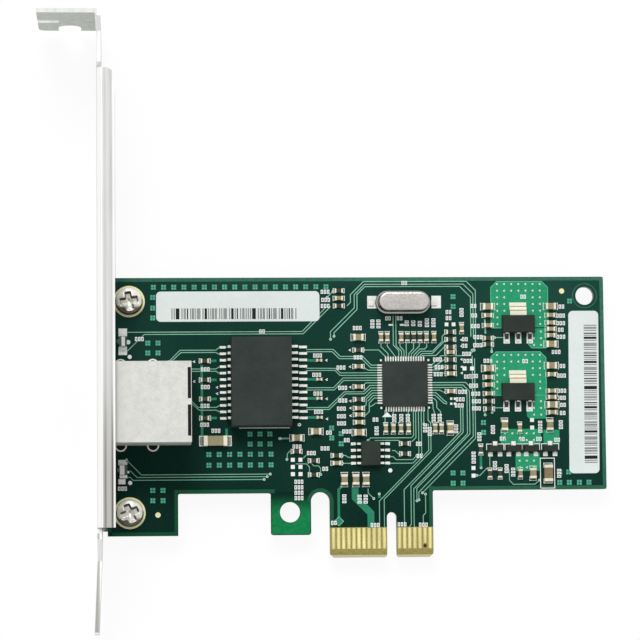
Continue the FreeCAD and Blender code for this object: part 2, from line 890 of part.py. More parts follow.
def crystal_can():
    """Drawn metal can with round ends and a bevelled top edge."""
    low_z = board_face + crystal_base_height
    high_z = low_z + crystal_can_height
    corners = rounded_rectangle(crystal_x, crystal_y, crystal_can_size[0],
                                crystal_can_size[1], crystal_can_size[1] / 2)
    can = plate_xy(corners, low_z, high_z)
    top_edges = [edge for edge in can.Edges
                 if all(abs(v.Point.z - high_z) < 1e-6 for v in edge.Vertexes)]
    return can.makeChamfer(crystal_can_corner, top_edges)


def crystal_leads():
    """Flat leads that leave the base at its two ends."""
    leads = []
    for side in (-1, 1):
        centre = crystal_x + side * (crystal_base_size[0] + crystal_lead_reach) / 2
        leads.append(centred_block(centre, crystal_y, crystal_lead_reach, crystal_lead_width,
                                   board_face, board_face + crystal_lead_height))
    return leads


# ---------------------------------------------------------------- regulators and transistors
def regulator_body(place):
    return package(place[0], place[1], regulator_size, regulator_standoff,
                   lead_belt(regulator_lead), regulator_height, moulding_draft)


def regulator_leads(place):
    """Three leads towards -Y and the wide heat tab towards +Y."""
    half = regulator_size[1] / 2
    pins = lead_row(place[0], place[1], half, regulator_lead_reach, regulator_lead,
                    spread(3, regulator_pitch), 3)
    tab_lead = (regulator_tab_width,) + regulator_lead[1:]
    return pins + lead_row(place[0], place[1], half, regulator_lead_reach, tab_lead, (0,), 1)


def transistor_bodies():
    return [package(x, transistor_y, transistor_size, transistor_standoff,
                    lead_belt(transistor_lead), transistor_height, moulding_draft)
            for x in transistor_xs]


def transistor_leads():
    """Two leads towards -Y and one towards +Y on each transistor."""
    half = transistor_size[1] / 2
    leads = []
    for x in transistor_xs:
        leads += lead_row(x, transistor_y, half, transistor_lead_reach, transistor_lead,
                          spread(2, transistor_pitch), 3)
        leads += lead_row(x, transistor_y, half, transistor_lead_reach, transistor_lead,
                          (0,), 1)
    return leads


# ---------------------------------------------------------------- chip capacitors and resistors
def chip_body(size):
    """Ceramic body about the Z axis, lying along X, without its metal ends."""
    length, width, height, end = size
    return centred_block(0, 0, length - 2 * end, width - 2 * chip_end_proud,
                         board_face + chip_end_proud, board_face + height - chip_end_proud)


def chip_ends(size):
    """The two metal ends of a chip that lies along X about the Z axis."""
    length, width, height, end = size
    return [centred_block(side * (length - end) / 2, 0, end, width,
                          board_face, board_face + height) for side in (-1, 1)]


def chip_places(columns, rows):
    """Place and quarter turns of each chip, from its column or its row."""
    places = [(x, y, 0) for x, ys in columns for y in ys]
    return places + [(x, y, 1) for y, xs in rows for x in xs]


def chips(size, columns, rows):
    """All bodies and all metal ends of one size of chip."""
    bodies = []
    ends = []
    for x, y, quarter_turns in chip_places(columns, rows):
        bodies.append(turned(chip_body(size), x, y, quarter_turns))
        ends += [turned(end, x, y, quarter_turns) for end in chip_ends(size)]
    return bodies, ends


# ---------------------------------------------------------------- labels
def label(x, y, size):
    corners = cut_rectangle(x, y, size[0], size[1], label_corner_cut)
    return plate_xy(corners, board_face, board_face + label_thickness)


# ---------------------------------------------------------------- all pieces
def all_pieces():
    pieces = {
        "circuit_board": circuit_board(),
        "edge_contacts_front": edge_contacts(1),
        "edge_contacts_back": edge_contacts(-1),
        "mounting_bracket": mounting_bracket(),
        "bracket_screws": [bracket_screw(y) for y in screw_ys],
        "jack_shield": jack_shield(),
        "jack_housing": jack_housing(),
        "jack_contacts": [jack_contact(index) for index in range(contact_count)],
        "status_led_bodies": status_led_bodies(),
        "status_led_lenses": status_led_lenses(),
        "status_led_ends": status_led_ends(),
        "transformer_body": transformer_body(),
        "transformer_leads": transformer_leads(),
        "controller_body": controller_body(),
        "controller_contacts": controller_contacts(),
        "memory_chip_body": memory_chip_body(),
        "memory_chip_leads": memory_chip_leads(),
        "crystal_base": crystal_base(),
        "crystal_can": crystal_can(),
        "crystal_leads": crystal_leads(),
        "transistor_bodies": transistor_bodies(),
        "transistor_leads": transistor_leads(),
        "address_label": label(address_label_x, address_label_y, (label_length, label_width)),
        "serial_label": label(serial_label_x, serial_label_y, (label_width, label_length)),
    }
    for number, place in enumerate(regulator_places, 1):
        pieces[f"regulator_{number}_body"] = regulator_body(place)
        pieces[f"regulator_{number}_leads"] = regulator_leads(place)
    chip_kinds = (
        ("tiny_capacitor", tiny_capacitor, tiny_capacitor_columns, ()),
        ("small_capacitor", small_capacitor, small_capacitor_columns, small_capacitor_rows),
        ("medium_capacitor", medium_capacitor, medium_capacitor_columns,
         medium_capacitor_rows),
        ("large_capacitor", large_capacitor, (), large_capacitor_rows),
        ("surge_capacitor", surge_capacitor, surge_capacitor_columns, ()),
        ("small_resistor", small_resistor, small_resistor_columns, small_resistor_rows),
    )
    for name, size, columns, rows in chip_kinds:
        pieces[f"{name}_bodies"], pieces[f"{name}_ends"] = chips(size, columns, rows)
    return pieces


def main():
    os.makedirs("parts", exist_ok=True)
    for name, shape in all_pieces().items():
        solid = Part.makeCompound(shape) if isinstance(shape, list) else shape
        solid.exportStep(os.path.join("parts", name + ".step"))


main()
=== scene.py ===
"""Network interface card, seen from above its component side."""
import bpy
import bmesh
import math
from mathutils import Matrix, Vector


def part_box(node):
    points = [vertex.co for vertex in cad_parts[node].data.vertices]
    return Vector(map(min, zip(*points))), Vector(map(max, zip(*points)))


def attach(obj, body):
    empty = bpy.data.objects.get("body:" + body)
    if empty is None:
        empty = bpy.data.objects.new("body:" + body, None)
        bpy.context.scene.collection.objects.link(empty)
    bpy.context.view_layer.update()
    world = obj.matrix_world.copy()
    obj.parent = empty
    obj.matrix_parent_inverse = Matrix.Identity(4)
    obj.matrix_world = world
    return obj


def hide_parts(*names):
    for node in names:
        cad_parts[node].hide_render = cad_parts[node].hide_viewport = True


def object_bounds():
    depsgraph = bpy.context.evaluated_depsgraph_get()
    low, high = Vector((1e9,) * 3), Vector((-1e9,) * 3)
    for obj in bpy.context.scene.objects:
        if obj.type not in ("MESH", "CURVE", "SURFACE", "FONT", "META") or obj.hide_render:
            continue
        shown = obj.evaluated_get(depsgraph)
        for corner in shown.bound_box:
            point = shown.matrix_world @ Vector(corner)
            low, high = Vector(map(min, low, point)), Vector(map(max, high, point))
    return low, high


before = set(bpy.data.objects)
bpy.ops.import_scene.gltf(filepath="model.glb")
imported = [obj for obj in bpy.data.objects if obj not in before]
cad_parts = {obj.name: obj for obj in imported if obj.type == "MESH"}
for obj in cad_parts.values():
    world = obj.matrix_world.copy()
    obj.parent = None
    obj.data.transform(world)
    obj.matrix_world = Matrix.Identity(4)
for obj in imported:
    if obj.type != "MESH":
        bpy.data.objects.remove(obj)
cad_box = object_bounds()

MM = 0.001
FRONT, BACK = 1, -1
board_low, board_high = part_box("circuit_board")
BOARD_Z = {FRONT: board_high.z / MM, BACK: board_low.z / MM}

# Heights of the flat layers over the board's face, in millimetres.
COPPER = 0.035
LOW_COPPER = 0.8 * COPPER
PAD = 0.05
INK = 0.06


# -------------------- materials
def linear(colour):
    """Scene-linear RGBA from an 8-bit display colour."""
    values = [c / 255 for c in colour]
    return tuple(v / 12.92 if v <= 0.04045 else ((v + 0.055) / 1.055) ** 2.4
                 for v in values) + (1.0,)


class Nodes:
    """Small helper for building a node tree."""

    def __init__(self, tree):
        self.tree = tree
        self.shader = tree.nodes.get("Principled BSDF")

    def new(self, kind, inputs=None, **settings):
        """Node with its settings; each input takes a constant or another node's socket."""
        node = self.tree.nodes.new(kind)
        for key, value in settings.items():
            setattr(node, key, value)
        for key, value in (inputs or {}).items():
            self.feed(value, node.inputs[key])
        return node

    def feed(self, value, socket):
        if isinstance(value, bpy.types.NodeSocket):
            self.tree.links.new(value, socket)
        else:
            socket.default_value = value

    def paint(self, colour):
        self.feed(colour, self.shader.inputs["Base Color"])

    def math(self, operation, a, b=None, clamp=False):
        inputs = {0: a} if b is None else {0: a, 1: b}
        return self.new("ShaderNodeMath", inputs, operation=operation,
                        use_clamp=clamp).outputs[0]

    def split(self, vector):
        return self.new("ShaderNodeSeparateXYZ", {0: vector}).outputs

    def noise(self, coordinates, scale, detail=3.0, stretch=None):
        if stretch:
            coordinates = self.new("ShaderNodeMapping", {"Vector": coordinates,
                                                         "Scale": stretch}).outputs[0]
        return self.new("ShaderNodeTexNoise", {"Vector": coordinates, "Scale": scale,
                                               "Detail": detail}).outputs["Fac"]

    def span(self, value, start, end, low=0.0, high=1.0, kind="LINEAR"):
        """Carries start to end over to low to high."""
        return self.new("ShaderNodeMapRange", {
            "Value": value, "From Min": start, "From Max": end, "To Min": low,
            "To Max": high}, interpolation_type=kind).outputs["Result"]

    def spread(self, noise, low, high):
        """Noise, which stays near its middle, spread over low to high."""
        return self.span(noise, 0.3, 0.7, low, high)

    def mix(self, factor, a, b):
        return self.new("ShaderNodeMix", {0: factor, 6: a, 7: b}, data_type="RGBA").outputs[2]

    def mottle(self, noise, a, b):
        """Display colours a and b mixed by noise."""
        return self.mix(self.spread(noise, 0.0, 1.0), linear(a), linear(b))

    def bump(self, height, strength, distance):
        bumped = self.new("ShaderNodeBump", {"Height": height, "Strength": strength,
                                             "Distance": distance})
        self.feed(bumped.outputs["Normal"], self.shader.inputs["Normal"])

    def seen_directly(self):
        """One for the rays that show a surface to the camera, not for those that light it."""
        rays = self.new("ShaderNodeLightPath").outputs
        straight = self.math("MAXIMUM", rays["Is Camera Ray"], rays["Is Glossy Ray"])
        return self.math("MAXIMUM", straight, rays["Is Transmission Ray"])


def start_material(name, metallic, roughness, coat, specular):
    made = bpy.data.materials.new(name)
    made.use_nodes = True
    nodes = Nodes(made.node_tree)
    for key, value in (("Metallic", metallic), ("Roughness", roughness), ("Coat Weight", coat),
                       ("Specular IOR Level", specular)):
        nodes.shader.inputs[key].default_value = value
    return made, nodes, nodes.new("ShaderNodeTexCoord").outputs["Object"]


def finish(name, colour, roughness, metallic=0.0, vary=0.08, grain=1500.0, bump=0.1,
           stretch=None, coat=0.0, specular=0.2, patch=None):
    """Surface with mottled colour, uneven gloss and a fine bump."""
    made, nodes, coordinates = start_material(name, metallic, roughness, coat, specular)
    fine = nodes.noise(coordinates, grain, 3.0, stretch)
    broad = nodes.noise(coordinates, patch or grain / 12, 2.0)
    tones = [c * (1 - vary) for c in colour], [min(255, c * (1 + vary)) for c in colour]
    nodes.paint(nodes.mix(0.5, nodes.mottle(fine, *tones), nodes.mottle(broad, *tones)))
    uneven = 0.08
    nodes.feed(nodes.spread(fine, max(0.02, roughness - uneven), roughness + uneven),
               nodes.shader.inputs["Roughness"])
    if bump:
        nodes.bump(fine, bump, 0.00005)
    return made


def reopened(made):
    """Nodes, present colour and texture coordinates of a made material."""
    nodes = Nodes(made.node_tree)
    base = nodes.shader.inputs["Base Color"].links[0].from_socket
    return nodes, base, nodes.new("ShaderNodeTexCoord").outputs


def painted_light_share(nodes, place, offset):
    """Share of painted light: zero at the board's foot, where the painted shade is deepest, and
    one at its far top corner.
    """
    per_x, per_y = 5.0, 16.0
    slope = nodes.math("ADD", nodes.math("MULTIPLY", place[0], per_x),
                       nodes.math("MULTIPLY", place[1], per_y))
    return nodes.math("ADD", slope, offset, clamp=True)


def painted_foot_shade(made, shade_colour, offset):
    """Painted shade: the material turns to the given shade colour towards the board's foot."""
    nodes, base, texture = reopened(made)
    share = painted_light_share(nodes, nodes.split(texture["Object"]), offset)
    nodes.paint(nodes.mix(share, linear(shade_colour), base))


def grown(made, source, start, end, colour, full=0.9):
    """Another colour, grown between two values of y of the place or of the normal."""
    nodes, base, texture = reopened(made)
    share = nodes.span(nodes.split(texture[source])[1], start, end, 0.0, full, "SMOOTHSTEP")
    nodes.paint(nodes.mix(share, base, linear(colour)))


def painted_by_slope(made, colour, low, high, any_axis=False):
    """Painted shade or highlight: another colour where the surface leans; low and high bound its
    normal's main part.
    """
    nodes, base, texture = reopened(made)
    x, y, main = [nodes.math("ABSOLUTE", part) for part in nodes.split(texture["Normal"])]
    if any_axis:
        main = nodes.math("MAXIMUM", nodes.math("MAXIMUM", x, y), main)
    share = nodes.span(main, low, high, kind="SMOOTHSTEP")
    nodes.paint(nodes.mix(share, linear(colour), base))


def along(made, axis, stops, facing=None, fade=None):
    """Paints light and shade on the material along one axis; stops give (place in metres, share,
    colour).

    With facing, (axis, sign), only faces turned that way are shaded. With fade,
    (axis, start, end), the shading grows from none at start to full at end.
    """
    nodes, base, texture = reopened(made)
    place = nodes.split(texture["Object"])
    low, high = stops[0][0], stops[-1][0]
    ramp = nodes.new("ShaderNodeValToRGB", {"Fac": nodes.span(place[axis], low, high)})
    elements = ramp.color_ramp.elements
    while len(elements) < len(stops):
        elements.new(0.5)
    for element, (at, share, colour) in zip(elements, stops):
        element.position = (at - low) / (high - low)
        element.color = linear(colour)[:3] + (share,)
    share = ramp.outputs["Alpha"]
    if facing:
        turned = nodes.math("MULTIPLY", nodes.split(texture["Normal"])[facing[0]], facing[1])
        share = nodes.math("MULTIPLY", share, nodes.math("GREATER_THAN", turned, 0.96))
    if fade:
        share = nodes.math("MULTIPLY", share,
                           nodes.span(place[fade[0]], *fade[1:], kind="SMOOTHSTEP"))
    nodes.paint(nodes.mix(share, base, ramp.outputs["Color"]))


def board_material():
    """Dark green mask over woven laminate, bare at the card edge and on the cut sides."""
    made, nodes, coordinates = start_material("mask_green", 0.0, 0.32, 0.0, 0.03)
    place = nodes.split(coordinates)
    x, y, z = place
    broad = nodes.noise(coordinates, 45.0, 2.0)
    fine = nodes.noise(coordinates, 2600.0, 2.0)
    # Painted shade and light: the mask is darker towards the board's foot and lighter towards its
    # far top corner.
    deep = nodes.mottle(broad, (1, 30, 24), (8, 42, 34))
    clear = nodes.mottle(broad, (20, 62, 52), (34, 74, 64))
    mask = nodes.mix(painted_light_share(nodes, place, 0.0), deep, clear)
    mask = nodes.mix(nodes.spread(fine, 0.0, 0.12), mask, linear((44, 92, 78)))
    bare = nodes.mottle(fine, (146, 136, 74), (174, 164, 104))
    cut = nodes.mottle(fine, (120, 136, 84), (150, 160, 108))

    tongue_low, tongue_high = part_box("edge_contacts_front")
    margin, chamfer, skin = 0.0006, 0.0005, 0.00004
    below = nodes.math("LESS_THAN", y, tongue_high.y + 0.0001)
    right = nodes.math("GREATER_THAN", x, tongue_low.x - margin)
    left = nodes.math("LESS_THAN", x, tongue_high.x + margin)
    tongue = nodes.math("MULTIPLY", nodes.math("MULTIPLY", below, right), left)
    inner = nodes.math("LESS_THAN", nodes.math("ABSOLUTE", z), board_high.z - skin)
    bare = nodes.mix(nodes.math("LESS_THAN", y, chamfer), bare, linear((206, 202, 164)))
    side = nodes.math("MULTIPLY", inner, nodes.math("SUBTRACT", 1.0, tongue))
    nodes.paint(nodes.mix(side, nodes.mix(tongue, mask, bare), cut))

    weave = nodes.new("ShaderNodeTexWave", {"Scale": 500.0, "Distortion": 1.0,
                                            "Vector": coordinates},
                      wave_type="BANDS", bands_direction="DIAGONAL")
    nodes.bump(nodes.math("ADD", weave.outputs["Fac"], fine), 0.06, 0.00003)
    nodes.feed(nodes.spread(broad, 0.26, 0.4), nodes.shader.inputs["Roughness"])
    return made


M = {
    "board": board_material(),
    "rim": finish("mask_over_rim", (62, 116, 98), 0.3, vary=0.14, patch=30.0, specular=0.05),
    "track": finish("mask_over_track", (148, 202, 178), 0.28, vary=0.1, specular=0.05),
    "wide": finish("mask_over_wide_track", (48, 134, 102), 0.28, vary=0.1, specular=0.05),
    "hook": finish("mask_over_hook", (24, 124, 73), 0.3, vary=0.16, patch=90.0, specular=0.03),
    "pour": finish("mask_over_pour", (34, 152, 106), 0.3, vary=0.09),
    "pour_edge": finish("mask_at_pour_edge", (96, 190, 152), 0.3),
    "square": finish("mask_over_square", (84, 172, 142), 0.3, vary=0.14, grain=2500.0,
                     patch=400.0),
    "mint": finish("mask_over_ring", (186, 220, 200), 0.3, vary=0.1),
    "ink": finish("white_ink", (252, 254, 252), 0.55, vary=0.05, grain=4000.0, bump=0.3),
    "gold": finish("gold_plate", (202, 186, 116), 0.34, 0.45, vary=0.1, stretch=(1, 0.15, 1)),
    "solder": finish("solder", (250, 250, 244), 0.3, 0.1, vary=0.07, grain=2600.0, bump=0.3),
    # Painted shade: the fillets' solder is darker, standing in for its dark reflection.
    "fillet": finish("solder_slope_shaded", (150, 152, 140), 0.3, 0.3, vary=0.3, grain=2600.0,
                     bump=0.5),
    # Painted highlight: a lighter gold for a stripe down each contact.
    "painted_sheen": finish("gold_painted_sheen", (232, 220, 160), 0.3, 0.3, vary=0.12, stretch=(1, 0.15, 1)),
    "cream": finish("tinned_ring", (250, 242, 188), 0.35, 0.15, vary=0.06),
    "steel": finish("plated_sheet", (204, 206, 203), 0.34, 0.5, vary=0.05, grain=900.0,
                    bump=0.15, stretch=(1, 0.06, 1), patch=60.0),
    "shield": finish("tinned_shield", (212, 213, 207), 0.42, 0.3, vary=0.05, grain=2600.0,
                     bump=0.35, patch=700.0),
    "screw": finish("screw_plate", (238, 234, 214), 0.22, 0.25, vary=0.16, grain=1200.0,
                    bump=0.3),
    "can": finish("drawn_can", (186, 183, 179), 0.3, 0.7, vary=0.06, grain=2600.0, bump=0.3),
    "lead": finish("tinned_lead", (234, 234, 226), 0.28, 0.4, vary=0.1, grain=2400.0),
    "tab": finish("tinned_tab", (238, 236, 212), 0.35, 0.1, vary=0.03, bump=0.0),
    "brown": finish("dark_ceramic", (132, 116, 88), 0.5, vary=0.16, grain=2600.0, patch=120.0),
    "epoxy": finish("chip_epoxy", (43, 51, 49), 0.62, vary=0.22, grain=3200.0, bump=0.5),
    "epoxy_dark": finish("small_chip_epoxy", (36, 45, 39), 0.6, vary=0.24, grain=3600.0,
                         bump=0.5),
    "black": finish("black_moulding", (20, 20, 21), 0.45, vary=0.15, grain=2400.0, bump=0.3),
    "tan": finish("capacitor_ceramic", (151, 142, 113), 0.5, vary=0.16, grain=2600.0,
                  patch=120.0),
    "glaze": finish("resistor_glaze", (62, 66, 60), 0.35, vary=0.25, grain=3000.0),
    "end": finish("chip_end_metal", (234, 229, 204), 0.32, 0.25, vary=0.1, grain=2600.0),
    "paper": finish("label_face", (228, 236, 233), 0.5, vary=0.02, grain=1800.0, bump=0.15),
    "print": finish("label_print", (16, 16, 18), 0.55, vary=0.2, grain=5000.0, bump=0.0),
    "grey_print": finish("label_grey_print", (150, 154, 150), 0.55, vary=0.1, grain=5000.0,
                         bump=0.0),
    "resin": finish("light_resin", (66, 88, 74), 0.15, vary=0.25, grain=900.0, coat=0.3),
    "hole": finish("hole_shadow", (8, 20, 17), 0.8, vary=0.2, bump=0.0),
    "burr": finish("dark_spot", (58, 44, 20), 0.7, vary=0.3, bump=0.0),
}

# Painted shade: the border and the tracks darken towards the board's foot.
painted_foot_shade(M["rim"], (18, 78, 50), 0.1)
painted_foot_shade(M["track"], (112, 172, 142), 0.3)
# The hook's green darkens where the copper begins.
grown(M["hook"], "Object", 0.0082, 0.0128, (9, 43, 35), 1.0)
# Painted shade for dark reflections: the can's sides and the slopes of the leads and tabs are
# darker.
painted_by_slope(M["can"], (92, 92, 90), 0.55, 0.9)
painted_by_slope(M["lead"], (52, 56, 50), 0.86, 0.985)
painted_by_slope(M["tab"], (96, 96, 78), 0.5, 0.75)
# Painted shade: the jack's shield darkens towards its front at the bracket.
along(M["shield"], 0, ((-0.0575, 0.9, (186, 187, 184)), (-0.0530, 0.5, (200, 201, 196)),
                       (-0.0500, 0.0, (212, 213, 207))))
# Painted shade and highlight: the screws' domes are dark towards the near side and bright towards
# the far side, and their steep slopes are darker.
painted_by_slope(M["screw"], (58, 50, 38), 0.45, 0.95)
grown(M["screw"], "Normal", -0.13, -0.25, (62, 54, 42))
grown(M["screw"], "Normal", 0.04, 0.26, (254, 253, 246))

# Painted highlight and shade in bands along the bracket's lip, from the outer bend to its free
# edge, first as they are over most of its length and then as they darken towards its lower end.
LIP_LEFT, LIP_WIDTH, LIP_SHARE = -0.05745, 0.0035, 0.85
LIP_PAINTED_BANDS = [(LIP_LEFT + LIP_WIDTH * place, LIP_SHARE, (tone, tone, tone - 1))
             for place, tone in ((0.0, 214), (0.07, 226), (0.13, 252), (0.28, 253),
                                 (0.34, 216), (0.47, 194), (0.57, 214), (0.7, 207),
                                 (0.82, 190), (0.9, 240), (1.0, 253))]
LOW_PAINTED_BANDS = [(LIP_LEFT + LIP_WIDTH * place, LIP_SHARE, (tone + 2, tone, max(tone - 5, 0)))
             for place, tone in ((0.0, 160), (0.1, 190), (0.15, 250), (0.27, 253), (0.34, 190),
                                 (0.41, 140), (0.47, 112), (0.52, 172), (0.66, 182),
                                 (0.76, 166), (0.81, 60), (0.85, 22), (0.89, 190),
                                 (0.95, 252), (1.0, 200))]
TAB_SHADE = (176, 184, 173)
# Painted highlight on the bracket's bevelled edges and bends.
painted_by_slope(M["steel"], (250, 250, 249), 0.9, 0.985, any_axis=True)
# Painted highlight and shade of the lip's bands on its upward faces.
along(M["steel"], 0, LIP_PAINTED_BANDS, facing=(2, 1))
along(M["steel"], 0, LOW_PAINTED_BANDS, facing=(2, 1), fade=(1, 0.042, 0.014))
# Painted shade on the faces of the screw tab that turn towards -Y.
along(M["steel"], 1, ((0.09, 0.0, TAB_SHADE), (0.1, 1.0, TAB_SHADE)), facing=(1, -1))

NODE_FINISH = {
    "circuit_board": "board", "edge_contacts_front": "gold", "edge_contacts_back": "gold",
    "mounting_bracket": "steel", "bracket_screws": "screw", "jack_shield": "shield",
    "jack_housing": "black", "jack_contacts": "gold", "status_led_bodies": "resin",
    "status_led_lenses": "resin", "status_led_ends": "solder", "transformer_body": "epoxy",
    "transformer_leads": "lead", "controller_body": "epoxy", "controller_contacts": "lead",
    "memory_chip_body": "epoxy_dark", "memory_chip_leads": "lead", "crystal_base": "black",
    "crystal_can": "can", "crystal_leads": "lead", "transistor_bodies": "epoxy_dark",
    "transistor_leads": "solder", "address_label": "paper", "serial_label": "paper",
    "regulator_1_body": "epoxy_dark", "regulator_1_leads": "lead",
    "regulator_2_body": "epoxy_dark", "regulator_2_leads": "lead",
    "large_capacitor_bodies": "brown",
}
for node_name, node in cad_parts.items():
    chip = "end" if node_name.endswith("_ends") else "glaze" if "resistor" in node_name else "tan"
    node.data.materials.clear()
    node.data.materials.append(M[NODE_FINISH.get(node_name, chip)])


# -------------------- mesh helpers
def middle(box):
    return tuple((a + b) / 2 for a, b in zip(*box))


def level(outline, z):
    return [(x, y, z) for x, y in outline]


def circle(x, y, radius, sides):
    return [(x + radius * math.cos(2 * math.pi * i / sides),
             y + radius * math.sin(2 * math.pi * i / sides)) for i in range(sides)]


def rounded(low, high, radius, inset=0.0, steps=6):
    """Outline of a plate with rounded corners."""
    x0, y0, x1, y1 = low[0] + inset, low[1] + inset, high[0] - inset, high[1] - inset
    r = radius - inset
    points = []
    for cx, cy, start in ((x1 - r, y1 - r, 0), (x0 + r, y1 - r, 90), (x0 + r, y0 + r, 180),
                          (x1 - r, y0 + r, 270)):
        for i in range(steps + 1):
            angle = math.radians(start + 90 * i / steps)
            points.append((cx + r * math.cos(angle), cy + r * math.sin(angle)))
    return points


class Shape:
    """Vertices and faces of one piece of the card, in millimetres."""

    def __init__(self):
        self.verts, self.faces = [], []

    def skin(self, outlines):
        """Closed skin over outlines of equal count."""
        start, count = len(self.verts), len(outlines[0])
        for outline in outlines:
            self.verts += outline
        last = len(self.verts) - count
        self.faces.append([last + i for i in range(count)])
        self.faces.append([start + i for i in reversed(range(count))])
        for a in range(start, last, count):
            b = a + count
            for i in range(count):
                j = (i + 1) % count
                self.faces.append([a + i, a + j, b + j, b + i])

    def build(self, name, material, slot="board_laminate", smooth=False):
        mesh = bpy.data.meshes.new(name)
        mesh.from_pydata([Vector(v) * MM for v in self.verts], [], self.faces)
        edit = bmesh.new()
        edit.from_mesh(mesh)
        bmesh.ops.remove_doubles(edit, verts=edit.verts, dist=1e-7)
        bmesh.ops.recalc_face_normals(edit, faces=edit.faces)
        edit.to_mesh(mesh)
        edit.free()
        if smooth:
            mesh.polygons.foreach_set("use_smooth", [True] * len(mesh.polygons))
        mesh.materials.append(M[material])
        made = bpy.data.objects.new(name, mesh)
        bpy.context.scene.collection.objects.link(made)
        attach(made, "root")
        return made


class Layer(Shape):
    """Thin raised shapes that lie on one face of the board."""

    def __init__(self, height=COPPER, base=0.0, side=FRONT):
        super().__init__()
        self.low = BOARD_Z[side] + side * base
        self.high = self.low + side * height

    def prism(self, lower, upper=None):
        """Raised shape from its outline, and a second outline where its top is narrower."""
        self.skin([level(lower, self.low), level(upper or lower, self.high)])

    def rect(self, x, y, width, height, inset=0.0):
        def corners(shrink):
            a, b = width / 2 - shrink, height / 2 - shrink
            return [(x - a, y - b), (x + a, y - b), (x + a, y + b), (x - a, y + b)]
        self.prism(corners(0), corners(inset))

    def disc(self, x, y, radius, sides=14):
        self.prism(circle(x, y, radius, sides))

    def ring(self, x, y, outer, inner, sides=40):
        """Flat ring, as one strip of blocks."""
        near, far = circle(x, y, inner, sides), circle(x, y, outer, sides)
        for i in range(sides):
            self.prism([near[i - 1], far[i - 1], far[i], near[i]])

    def frame(self, low, high, x, y, radius, steps=48):
        """Rectangle with a round hole in it, as one strip of blocks."""
        def outer(angle):
            c, s = math.cos(angle), math.sin(angle)
            reach = min(((high[0] if c > 0 else low[0]) - x) / c if abs(c) > 1e-9 else 1e9,
                        ((high[1] if s > 0 else low[1]) - y) / s if abs(s) > 1e-9 else 1e9)
            return x + c * reach, y + s * reach

        corners = [math.atan2(b - y, a - x) for a in (low[0], high[0]) for b in (low[1], high[1])]
        angles = sorted([2 * math.pi * i / steps - math.pi for i in range(steps)] + corners)
        for a, b in zip(angles, angles[1:] + [angles[0] + 2 * math.pi]):
            if b - a > 1e-6:
                inner = [(x + radius * math.cos(t), y + radius * math.sin(t)) for t in (a, b)]
                self.prism([inner[0], outer(a), outer(b), inner[1]])

    def track(self, points, width):
        """Line of constant width with mitred bends."""
        left, right = [], []
        steps = [(b[0] - a[0], b[1] - a[1]) for a, b in zip(points, points[1:])]
        steps = [(a / math.hypot(a, b), b / math.hypot(a, b)) for a, b in steps]
        for i, (x, y) in enumerate(points):
            arms = steps[max(i - 1, 0):i + 1]
            nx = -sum(b for a, b in arms) / len(arms)
            ny = sum(a for a, b in arms) / len(arms)
            scale = width / 2 / (nx * nx + ny * ny)
            left.append((x + nx * scale, y + ny * scale))
            right.append((x - nx * scale, y - ny * scale))
        for i in range(len(points) - 1):
            self.prism([left[i], right[i], right[i + 1], left[i + 1]])


def islands(node_name):
    """Box of each separate solid of a CAD node, in millimetres."""
    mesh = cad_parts[node_name].data
    parent = {}

    def find(key):
        while parent[key] != key:
            parent[key] = parent[parent[key]]
            key = parent[key]
        return key

    keys = [tuple(round(c / MM, 3) for c in v.co) for v in mesh.vertices]
    for key in keys:
        parent.setdefault(key, key)
    for polygon in mesh.polygons:
        first = find(keys[polygon.vertices[0]])
        for index in polygon.vertices[1:]:
            parent[find(keys[index])] = first
    groups = {}
    for key in parent:
        groups.setdefault(find(key), []).append(key)
    return sorted(tuple(tuple(pick(c) for c in zip(*points)) for pick in (min, max))
                  for points in groups.values())


def node_mm(node_name):
    low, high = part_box(node_name)
    return tuple(c / MM for c in low), tuple(c / MM for c in high)


# -------------------- board artwork
# Positions are millimetres in the part's own frame.
EDGE_BAND = 0.7
# The border bends round the head of the notch beside the connector.
ARCH = circle(-14.0, 11.0, 2.25, 24)[:13]
RIM_LINES = [
    [(-55.2, 4.6), (-55.2, 54.75), (42.2, 54.75), (42.2, 13.45), (7.75, 13.45), (7.75, 5.9)],
    [(-11.75, 5.9)] + ARCH,
    [(-23.3, 12.7), (-23.3, 13.1), (-42.25, 13.1), (-42.25, 4.9), (-55.1, 4.9)],
]
# The hook's field, and the middle and radius of the hole in it.
HOOK = ((-23.55, 4.65), (-16.0, 12.9))
HOOK_HOLE = (-19.95, 8.95, 2.08)
SUPPORT_HOLE = (38.85, 51.35)
# Middles of the copper squares.
SQUARES = [(-46.5 + 2 * i, 53.3) for i in range(18)]
SQUARES += [(-46.65, y) for y in (51.3, 49.2, 47.25)]
SQUARES += [(x, y) for x in (-47.65, -45.65) for y in (42.3, 40.35)]
SQUARES += [(x, y) for x in (-27.7, -25.75, -23.8) for y in (24.3, 22.35)]
SQUARES += [(-35.8 + 2.03 * i, y) for i in range(7) for y in (20.35, 18.25)]
SQUARES += [(x, y) for x in (-46.8, -44.8) for y in (13.4, 11.4)]
SQUARES += [(x, y) for x in (12.2, 14.15) for y in (16.4, 14.4)]
SQUARES += [(18.35, 26.3), (18.35, 24.35), (-11.65, 25.4), (-11.65, 23.45), (-9.8, 24.3),
            (-9.8, 22.3), (12.65, 51.25), (12.65, 49.3), (35.85, 50.3)]
SQUARES += [(x, 14.4) for x in (33.3, 35.2, 37.2, 39.1)] + [(33.35, 16.45), (35.1, 16.45)]
